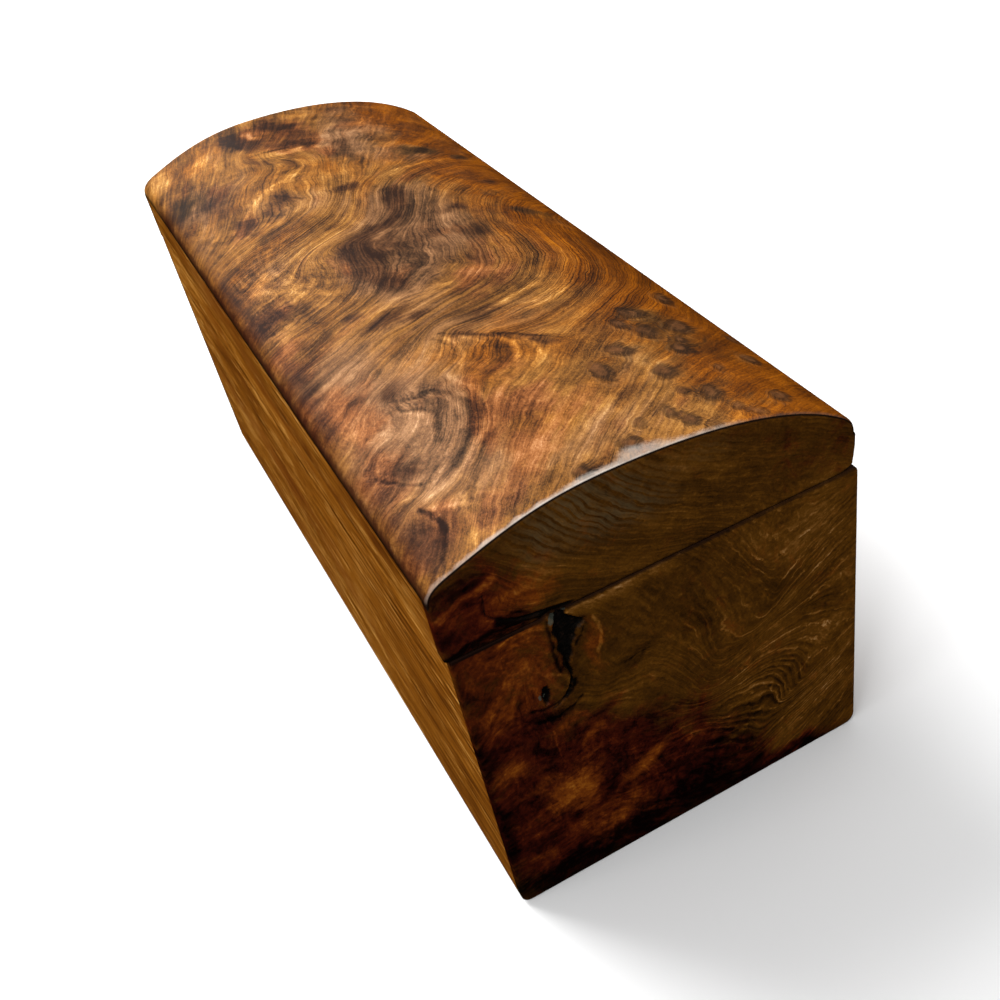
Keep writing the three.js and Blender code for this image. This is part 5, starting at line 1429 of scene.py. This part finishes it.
    # eyes
    blob = w.mul(w.remap(w.add(q, w.add(unit(w, fibre, gain=0.6), unit(w, torn, gain=0.9))), 1.42, 0.50, smooth=True), em)
    col = w.mix(w.mul(blob, 0.90), col, w.ramp(w.add(w.mul(t, 0.6), w.mul(fibre, 0.4)), [(0.2, srgb(20, 11, 6)), (0.5, srgb(58, 37, 20)), (0.8, srgb(116, 80, 48))]))
    rim = w.mul(w.mul(w.remap(q, 0.62, 0.95, smooth=True), w.remap(q, 1.25, 0.98, smooth=True)), em)
    rim_k = w.mul(rim, w.mad(w.noise(w.scaled(p, 420), 1.0, 2, 0.5), 3.0, -1.1))
    col = w.mix(w.math("MULTIPLY", rim_k, 0.7, clamp=True), col, srgb(42, 24, 10))
    heart = w.mul(w.mul(w.remap(w.add(q, w.mul(w.add(ex, ey), 0.35)), 0.62, 0.1, smooth=True), em), w.mad(w.noise(w.scaled(p, 700), 1.0, 3, 0.6), 2.2, -0.5))
    col = w.mix(w.math("MULTIPLY", heart, 0.5, clamp=True), col, srgb(146, 92, 50))
    # a faint pale ring on one side of each eye: painted highlight
    glow = w.mul(w.mul(w.remap(q, 1.1, 1.3, smooth=True), w.remap(q, 1.7, 1.35, smooth=True)), w.mul(em, w.remap(w.sub(ey, ex), -0.2, 1.2)))
    col = w.mix(w.mul(glow, 0.05), col, srgb(208, 160, 106))
    worn = w.remap(w.add(w.attr("worn"), w.add(unit(w, torn, gain=0.9), w.add(unit(w, fibre, gain=0.8), unit(w, grain, gain=0.8)))), 0.15, 1.35, smooth=True)
    col = w.mix(w.mul(worn, 0.42), col, srgb(190, 182, 172))

    # the arch edges: a painted highlight along the rounding, brightest near the edge, then a dark edge line; and the
    # dark glue line under the skin
    edge = w.attr("edge")
    arch_highlight = w.remap(w.add(edge, unit(w, w.noise(w.scaled(p, 420), 1.0, 3, 0.6), gain=1.7)), 1.15, 0.10, 0.0, 1.0, smooth=True)
    arch_highlight = w.mul(arch_highlight, w.remap(w.attr("across"), 380.0, 250.0, 0.05, 1.0))
    arch_highlight = w.mul(arch_highlight, w.remap(w.attr("across"), 0.0, 70.0, 0.45, 1.0))
    col = w.mix(w.mul(arch_highlight, 0.60), col, srgb(214, 190, 172))
    # a narrower painted highlight right at the edge
    gleam = w.mul(w.mul(w.remap(edge, 0.62, 0.42), arch_highlight), w.remap(w.attr("across"), 30.0, 170.0, 0.0, 0.55, smooth=True))
    col = w.mix(gleam, col, srgb(238, 230, 220))
    tip = w.remap(edge, 0.36, 0.26)
    col = w.mix(w.mul(tip, 0.9), col, srgb(24, 10, 5))
    glue = w.remap(w.attr("glue"), 1.3, 0.4)
    col = w.mix(w.mul(glue, 0.92), col, srgb(22, 10, 5))

    h = w.add(w.mul(w.mul(hair, crisp), -0.8), w.add(w.mul(fibre, 0.45), w.mul(grain, 0.35)))
    h = w.add(h, w.mul(dl, -1.2))
    h = w.add(h, w.mul(rim, -0.8))
    rough = w.mad(w.noise(w.scaled(p, 150), 1.0, 3, 0.6), 0.16, 0.30)
    w.surface(Base_Color=col, Roughness=rough, Normal=w.bump(h, 0.35, 0.00005), Coat_Weight=0.04, Coat_Roughness=0.26, Specular_IOR_Level=0.20)
    return w.mat


def burl_end(name, shift):
    w = Nodes(name)
    p = w.vadd(w.place(), (shift, shift * 0.7, -shift))
    phi, along = w.attr("phi"), w.attr("along")
    w1, w2, w3 = w.split(w.noise(w.scaled(p, 210), 1.0, 2, 0.5, color=True))
    v1, v2, v3 = w.split(w.noise(w.scaled(p, 640), 1.0, 1, 0.5, color=True))
    f = w.mul(phi, 0.155)
    f = w.add(f, unit(w, w1, gain=1.3))
    f = w.add(f, unit(w, v1, gain=0.30))
    a = w.add(w.mul(along, 0.16), unit(w, w2, gain=1.5))
    broad = w.noise(w.xyz(w.mul(f, 0.17), w.mul(a, 0.06), 2.0), 1.0, 3, 0.55)
    ringy = w.noise(w.xyz(w.mul(f, 0.95), w.mul(a, 0.05), 6.0), 1.0, 3, 0.7)
    strength = w.noise(w.xyz(w.mul(f, 0.16), w.mul(a, 0.15), 11.0), 1.0, 2, 0.5)
    spacing = w.noise(w.xyz(w.mul(f, 0.3), w.mul(a, 0.03), 15.0), 1.0, 1, 0.5)
    fr = w.math("FRACT", w.add(f, w.mul(spacing, 2.4)))
    late = w.mul(w.remap(fr, 0.45, 0.90, smooth=True), w.remap(fr, 1.0, 0.92))
    fold = w.attr("fold")
    hair = w.mul(late, w.add(w.remap(strength, 0.40, 0.70, 0.0, 0.55), w.mul(fold, 0.6)))
    pale = w.mul(w.remap(fr, 0.02, 0.2, smooth=True), w.remap(fr, 0.46, 0.24, smooth=True))
    pale = w.mul(pale, w.add(w.remap(strength, 0.45, 0.72, 0.0, 0.5), w.mul(fold, 0.9)))
    fibre = w.noise(w.xyz(w.mul(f, 3.6), w.mul(a, 0.6), 1.0), 1.0, 3, 0.62)
    grain = w.noise(w.scaled(p, 2100), 1.0, 3, 0.65)
    flecks = w.noise(w.xyz(w.mul(f, 1.9), w.mul(w.add(a, w.mul(f, 0.5)), 0.95), 8.0), 1.0, 2, 0.5)
    cloud = w.noise(w.scaled(p, 70), 1.0, 4, 0.62)
    curl = w.noise(w.scaled(p, 230), 1.0, 4, 0.65, distortion=1.8)

    smoke, orange, red = w.attr("smoke"), w.attr("orange"), w.attr("red")
    drift = w.noise(w.scaled(p, 95), 1.0, 4, 0.62, distortion=1.2)
    warp_m = w.add(w.add(unit(w, curl, gain=1.1), unit(w, drift, gain=1.3)), unit(w, ringy, gain=0.7))
    sm = w.remap(w.add(smoke, warp_m), 0.05, 1.30, smooth=True)
    og = w.remap(w.add(orange, w.mul(warp_m, 1.3)), 0.05, 1.15, smooth=True)
    rd = w.remap(w.add(red, w.mul(warp_m, 0.9)), 0.18, 0.95, smooth=True)
    mottle = w.noise(w.scaled(p, 150), 1.0, 4, 0.68, distortion=2.2)
    swirl = w.noise(w.xyz(w.mul(f, 0.5), w.mul(a, 0.42), 61.0), 1.0, 4, 0.65, distortion=1.4)
    dl = w.remap(w.add(w.attr("dark_line"), w.add(unit(w, curl, gain=0.9), unit(w, drift, gain=0.9))), 0.26, 0.95, smooth=True)
    ll = w.remap(w.add(w.attr("light_line"), w.add(unit(w, fibre, gain=0.5), unit(w, curl, gain=0.5))), 0.22, 0.85, smooth=True)
    # feathered curls: broken pale lines that follow the figure, two to three mm apart
    feather = w.attr("feather")
    gap = w.noise(w.xyz(w.mul(f, 0.35), w.mul(a, 0.05), 23.0), 1.0, 1, 0.5)
    fb = w.math("FRACT", w.add(w.mul(f, 0.52), w.add(w.mul(gap, 1.6), unit(w, curl, gain=0.9))))
    quill = w.mul(w.remap(fb, 0.04, 0.16, smooth=True), w.remap(fb, 0.34, 0.16, smooth=True))
    fb2 = w.math("FRACT", w.add(w.mul(f, 1.16), w.add(w.mul(gap, 2.6), unit(w, curl, gain=0.7))))
    quill2 = w.mul(w.remap(fb2, 0.04, 0.2, smooth=True), w.remap(fb2, 0.44, 0.2, smooth=True))
    broken = w.noise(w.xyz(w.mul(f, 0.30), w.mul(a, 0.42), 27.0), 1.0, 3, 0.62)
    quill = w.mul(w.mul(quill, w.remap(broken, 0.44, 0.60, smooth=True)), feather)
    quill2 = w.mul(w.mul(quill2, w.remap(broken, 0.54, 0.42, smooth=True)), w.mad(feather, 0.8, 0.1))

    t = w.add(unit(w, broad, gain=0.5), 0.46)
    t = w.add(t, unit(w, ringy, gain=0.38))
    t = w.add(t, unit(w, cloud, gain=0.34))
    t = w.add(t, unit(w, fibre, gain=0.32))
    t = w.add(t, unit(w, grain, gain=0.34))
    t = w.add(t, unit(w, curl, gain=0.40))
    t = w.add(t, w.mul(hair, -0.20))
    t = w.add(t, w.mul(pale, 0.14))
    t = w.add(t, w.mul(quill, 0.30))
    t = w.add(t, w.mul(quill2, 0.15))
    t = w.add(t, w.mul(w.remap(flecks, 0.60, 0.74), 0.12))
    t = w.add(t, w.mul(w.attr("light"), 0.22))
    t = w.add(t, w.mul(ll, 0.26))
    t = w.add(t, w.mul(sm, -0.40))
    t = w.add(t, w.mul(dl, -0.45))
    t = w.add(t, w.mul(w.add(unit(w, mottle, gain=0.75), unit(w, swirl, gain=0.65)), w.mad(rd, 0.85, 0.15)))
    t = w.add(t, w.mul(rd, -0.04))
    t = w.add(t, w.mul(og, 0.06))

    base = w.ramp(t, [(0.0, srgb(10, 5, 1)), (0.22, srgb(45, 24, 2)), (0.45, srgb(86, 50, 4)), (0.62, srgb(113, 69, 9)), (0.8, srgb(152, 99, 38)), (1.0, srgb(198, 148, 92))])
    redc = w.ramp(t, [(0.0, srgb(10, 1, 1)), (0.22, srgb(42, 7, 3)), (0.45, srgb(76, 21, 4)), (0.62, srgb(104, 38, 5)), (0.8, srgb(142, 68, 14)), (1.0, srgb(182, 114, 48))])
    orc = w.ramp(t, [(0.0, srgb(26, 7, 1)), (0.22, srgb(70, 24, 1)), (0.45, srgb(112, 48, 2)), (0.62, srgb(144, 70, 5)), (0.8, srgb(176, 98, 16)), (1.0, srgb(208, 142, 52))])
    col = w.mix(rd, base, redc)
    col = w.mix(w.mul(og, 0.85), col, orc)
    # a painted reflection: a grey sheen over the lid end, mixed into the colour
    painted_sheen = w.mul(w.attr("painted_sheen"), w.add(w.mad(w.noise(w.scaled(p, 260), 1.0, 3, 0.6), 0.8, 0.0), w.add(w.mul(late, -0.5), unit(w, fibre, gain=1.4))))
    col = w.mix(w.math("MULTIPLY", painted_sheen, 0.72, clamp=True), col, srgb(112, 100, 70))
    # bark pocket: nearly black, with loose pale chips
    pit = w.remap(w.add(w.attr("pit"), unit(w, w.noise(w.scaled(p, 800), 1.0, 3, 0.6), gain=0.5)), 0.10, 0.75, smooth=True)
    bark = w.ramp(w.noise(w.scaled(p, 900), 1.0, 4, 0.7), [(0.3, srgb(4, 2, 1)), (0.55, srgb(14, 8, 4)), (0.8, srgb(46, 27, 13))])
    col = w.mix(pit, col, bark)
    chip = w.remap(w.add(w.attr("chip"), unit(w, w.noise(w.scaled(p, 1300), 1.0, 3, 0.6), gain=1.1)), 0.42, 0.6, smooth=True)
    col = w.mix(w.mul(chip, 0.75), col, srgb(92, 96, 84))
    rise = w.attr("rise")  # mm above the seam
    # painted shade along the seam, where the gap between lid and body lies in shadow: a dark band under it, a darkened
    # ledge just under it (not where the pale strip is) and a dark line on the lid just above it
    under = w.mul(w.remap(w.add(rise, unit(w, drift, gain=0.5)), -0.80, -0.38, smooth=True), w.remap(rise, 0.03, 0.01))
    col = w.mix(w.mul(under, w.math("MULTIPLY", w.mad(rd, 0.40, w.mad(w.attr("light"), -0.3, 0.62)), 1.0, clamp=True)), col, srgb(24, 7, 1))
    ledge = w.mul(w.remap(rise, -0.36, -0.10, smooth=True), w.remap(rise, 0.02, 0.0))
    col = w.mix(w.mul(ledge, w.mad(w.attr("light"), -0.9, 0.80)), col, srgb(28, 9, 2))
    lip = w.mul(w.remap(w.add(rise, unit(w, drift, gain=-0.6)), 0.85, 0.1, smooth=True), w.remap(rise, -0.01, 0.02))
    col = w.mix(w.mul(lip, w.mad(rd, 0.25, 0.58)), col, srgb(18, 7, 2))
    arch = w.attr("arch")
    col = w.mix(w.remap(arch, 0.62, 0.38), col, srgb(20, 8, 3))

    h = w.add(w.mul(hair, -0.7), w.add(w.mul(fibre, 0.45), w.mul(grain, 0.4)))
    h = w.add(h, w.mul(dl, -1.5))
    rough = w.add(w.mad(w.noise(w.scaled(p, 160), 1.0, 3, 0.6), 0.16, 0.36), w.add(w.mul(pit, 0.4), w.mul(w.math("MAXIMUM", ledge, under), 0.4)))
    w.surface(Base_Color=col, Roughness=rough, Normal=w.bump(h, 0.35, 0.00006), Coat_Weight=0.02, Coat_Roughness=0.28, Specular_IOR_Level=0.11)
    return w.mat


def long_grain(name, pale, light, mid, dark, rough=0.38, seed=0.0, coat=0.2, spec=0.35, pores=0.5, flame=0.5, streaks=0.4, rings=0.35, scratch=0.12, warm=srgb(112, 52, 16), contrast=1.0):
    """Straight-grained wood, grain along Y, cut from one log so that its rings meet round the corners."""
    w = Nodes(name)
    p = w.vadd(w.place(), (seed * 0.031, seed * 0.053, seed * 0.023))
    x, y, z = w.split(p)
    sway = w.noise(w.xyz(w.mul(x, 9), w.mul(y, 11), w.mul(z, 9)), 1.0, 2, 0.5)
    sway2 = w.noise(w.xyz(w.mul(x, 50), w.mul(y, 15), w.mul(z, 50)), 1.0, 3, 0.5)
    cx = w.add(w.add(x, 0.13), w.mul(unit(w, sway), 0.014))
    cz = w.add(w.add(z, 0.05), w.mul(unit(w, sway2), 0.0018))
    rr = w.math("SQRT", w.add(w.mul(cx, cx), w.mul(cz, cz)))
    rr = w.mul(rr, 620.0)  # growth lines 1.6 mm apart
    rr = w.add(rr, unit(w, sway2, gain=1.2))
    space = w.noise(w.xyz(w.mul(rr, 0.31), w.mul(y, 2.0), 0.0), 1.0, 2, 0.5)
    fr = w.math("FRACT", w.add(rr, w.mul(space, 2.0)))
    ring = w.mul(w.remap(fr, 0.25, 0.93, smooth=True), w.remap(fr, 1.0, 0.93))
    ring = w.mul(ring, w.remap(w.noise(w.xyz(w.mul(rr, 0.17), w.mul(y, 5.0), 4.0), 1.0, 2, 0.5), 0.32, 0.68, 0.15, 1.0))
    g = w.xyz(w.mul(x, 1500), w.mul(y, 75), w.mul(z, 1500))
    fibre = w.noise(g, 1.0, 4, 0.65)
    coarse = w.noise(w.xyz(w.mul(x, 420), w.mul(y, 20), w.mul(z, 420)), 1.0, 4, 0.65)
    pv = w.voronoi(w.xyz(w.mul(x, 1900), w.mul(y, 190), w.mul(z, 1900)), 1.0, "F1")
    pore = w.mul(w.remap(pv, 0.26, 0.12, smooth=True), w.remap(coarse, 0.42, 0.62, 0.15, 1.0))
    cloud = w.noise(w.xyz(w.mul(x, 60), w.mul(y, 16), w.mul(z, 60)), 1.0, 3, 0.55)
    cross = w.noise(w.xyz(w.mul(x, 40), w.mul(y, 170), w.mul(z, 40)), 1.0, 2, 0.5)
    t = w.add(unit(w, coarse, gain=streaks), 0.52)
    t = w.add(t, unit(w, fibre, gain=0.9))
    t = w.add(t, unit(w, cloud, gain=flame))
    t = w.add(t, unit(w, cross, gain=0.10))
    t = w.add(t, w.mul(ring, -rings))
    t = w.add(t, w.mul(pore, -pores * 0.5))
    # short pale lines, nearly along the grain
    tilt = w.add(x, w.mul(y, 0.03))
    thread = w.noise(w.xyz(w.mul(tilt, 2500), w.mul(y, 85), w.mul(z, 2500)), 1.0, 2, 0.5)
    where = w.noise(w.xyz(w.mul(x, 130), w.mul(y, 24), w.mul(z, 130)), 1.0, 2, 0.5)
    thread = w.mul(w.remap(thread, 0.55, 0.66, smooth=True), w.remap(where, 0.40, 0.56, 0.2, 1.0, smooth=True))
    t = w.add(w.mad(w.sub(t, 0.52), contrast, 0.52), w.mul(thread, scratch))
    col = w.ramp(t, [(0.08, dark), (0.36, mid), (0.60, light), (0.88, pale)])
    tint = w.noise(w.xyz(w.mul(x, 90), w.mul(y, 13), w.mul(z, 90)), 1.0, 3, 0.6)
    col = w.mix(w.mul(w.remap(tint, 0.50, 0.66, smooth=True), 0.45), col, warm)
    h = w.add(w.mul(fibre, 0.5), w.add(w.mul(pore, -1.2), w.mul(ring, -0.25)))
    r = w.mad(w.noise(w.scaled(p, 140), 1.0, 3, 0.6), 0.14, rough - 0.07)
    w.surface(Base_Color=col, Roughness=r, Normal=w.bump(h, 0.35, 0.00005), Coat_Weight=coat, Coat_Roughness=0.22, Specular_IOR_Level=spec)
    return w.mat


def brass_finish(name, base, dark, rough):
    w = Nodes(name)
    p = w.place()
    x, y, z = w.split(p)
    n = w.noise(p, 900, 4, 0.6)
    brushed = w.noise(w.xyz(w.mul(x, 5200), w.mul(y, 260), w.mul(z, 5200)), 1.0, 3, 0.6)
    tarnish = w.noise(p, 190, 4, 0.65)
    spot = w.noise(p, 1500, 3, 0.7)
    col = w.mix(w.remap(tarnish, 0.40, 0.72), base, dark)
    col = w.mix(w.mul(w.remap(spot, 0.60, 0.74), 0.55), col, srgb(84, 56, 26))
    r = w.add(w.mad(brushed, 0.16, rough), w.mul(w.remap(tarnish, 0.4, 0.8), 0.16))
    h = w.add(w.mul(brushed, 0.7), w.mul(n, 0.3))
    w.surface(Base_Color=col, Metallic=0.8, Roughness=r, Normal=w.bump(h, 0.22, 0.00002))
    return w.mat


burl_mat = burl_top()
near_mat = burl_end("burl_near_end_finish", 0.0)
far_mat = burl_end("burl_far_end_finish", 0.37)
trunk = long_grain("trunk_wood_finish", srgb(214, 156, 76), srgb(160, 97, 20), srgb(130, 73, 9), srgb(74, 34, 3), coat=0.05, spec=0.15, rough=0.46, flame=0.7, streaks=0.8, rings=0.26, pores=0.9, scratch=0.40, warm=srgb(120, 58, 8), contrast=1.2)
inner = long_grain("inner_wood_finish", srgb(214, 172, 116), srgb(196, 148, 90), srgb(172, 122, 66), srgb(128, 82, 42), rough=0.60, seed=3.1, coat=0.0, spec=0.3, rings=0.4)
base_wood = long_grain("base_wood_finish", srgb(196, 150, 96), srgb(176, 126, 74), srgb(148, 100, 54), srgb(104, 66, 34), rough=0.66, seed=7.7, coat=0.0, spec=0.25, rings=0.45, pores=0.8)
brass = brass_finish("hinge_brass_finish", srgb(212, 172, 98), srgb(146, 104, 46), 0.22)
pin_brass = brass_finish("pin_brass_finish", srgb(200, 160, 90), srgb(132, 94, 44), 0.26)
screw_brass = brass_finish("screw_brass_finish", srgb(220, 182, 108), srgb(156, 112, 50), 0.18)

dress(pieces["lid_top_burl"], burl_mat)
for node in ("front_board", "back_board", "lid_front_rail", "lid_back_rail"):
    dress(pieces[node], trunk)
dress(pieces["lid_dome_board"], inner)
for node in ("near_end_burl", "lid_near_end_burl"):
    dress(pieces[node], near_mat)
for node in ("far_end_burl", "lid_far_end_burl"):
    dress(pieces[node], far_mat)


def soften(ob, width, segments=2, angle=40):
    b = ob.modifiers.new("soft_edges", "BEVEL")
    b.width = width * 0.001
    b.segments = segments
    b.limit_method = "ANGLE"
    b.angle_limit = math.radians(angle)
    b.harden_normals = False


for n, o in nodes.items():
    if n in pieces:
        if n.startswith("screw_"):
            dress(pieces[n], screw_brass)
        continue
    if n.startswith("hinge_"):
        dress(o, pin_brass if n.endswith("pin") else brass)
        soften(o, 0.10, 2, 35)
    else:
        dress(o, base_wood if n == "bottom_board" else inner)
        soften(o, 0.22, 2, 40)


# ---------------------------------------------------------------- floor, light
s = 3.0
floor_me = bpy.data.meshes.new("floor")
floor_me.from_pydata([(-s, -s, 0), (s, -s, 0), (s, s, 0), (-s, s, 0)], [], [(0, 1, 2, 3)])
floor = bpy.data.objects.new("floor", floor_me)
scene.collection.objects.link(floor)
fm = Nodes("floor_paper")
fm.surface(Base_Color=(0.86, 0.86, 0.86), Roughness=0.95, Specular_IOR_Level=0.0)
floor_me.materials.append(fm.mat)
floor.visible_glossy = False
floor.visible_diffuse = False

world = bpy.data.worlds.new("studio")
scene.world = world
world.use_nodes = True
wt = world.node_tree
wt.nodes.clear()
w_out = wt.nodes.new("ShaderNodeOutputWorld")
w_bg = wt.nodes.new("ShaderNodeBackground")
w_tc = wt.nodes.new("ShaderNodeTexCoord")
w_sep = wt.nodes.new("ShaderNodeSeparateXYZ")
w_mix = wt.nodes.new("ShaderNodeMix")
w_mix.data_type = "RGBA"
w_path = wt.nodes.new("ShaderNodeLightPath")
wt.links.new(w_tc.outputs["Generated"], w_sep.inputs[0])
wt.links.new(w_path.outputs["Is Glossy Ray"], w_mix.inputs[0])
# soft light all round; in reflections only the upper part of the room is bright
for slot_i, steps in ((6, ((0.0, 0.20), (0.06, 0.24), (0.5, 0.52), (1.0, 0.86))), (7, ((0.0, 0.0), (0.10, 0.01), (0.42, 0.20), (1.0, 0.4)))):
    w_ramp = wt.nodes.new("ShaderNodeValToRGB")
    wt.links.new(w_sep.outputs[2], w_ramp.inputs[0])
    wt.links.new(w_ramp.outputs[0], w_mix.inputs[slot_i])
    els = w_ramp.color_ramp.elements
    while len(els) < 4:
        els.new(0.5)
    for k, (pos, v) in enumerate(steps):
        els[k].position = pos
        els[k].color = (v, v, v, 1)
wt.links.new(w_mix.outputs[2], w_bg.inputs[0])
wt.links.new(w_bg.outputs[0], w_out.inputs[0])
w_bg.inputs[1].default_value = 1.0


def area(name, at, to, size, power, color=(1, 1, 1), size_y=None):
    d = bpy.data.lights.new(name, "AREA")
    d.energy = power
    d.color = color
    d.size = size
    if size_y:
        d.shape = "RECTANGLE"
        d.size_y = size_y
    o = bpy.data.objects.new(name, d)
    scene.collection.objects.link(o)
    o.location = at
    o.rotation_euler = (Vector(to) - Vector(at)).to_track_quat("-Z", "Y").to_euler()
    return o


key = area("key", (-0.35, 0.83, 1.12), (0, 0, 0.05), 0.75, 25)
key.visible_glossy = False
fill = area("left_fill", (-1.2, -0.15, 0.75), (0, 0, 0.05), 0.8, 6)
fill.visible_glossy = False
area("back_sheen", (-0.25, 1.25, 0.62), (0, 0, 0.08), 0.8, 0.6, size_y=0.5)
area("arch_glint", (-0.42, -0.42, 0.90), (0, -0.08, 0.09), 0.16, 1.4)
scene.view_settings.view_transform = "Standard"
scene.view_settings.look = "None"
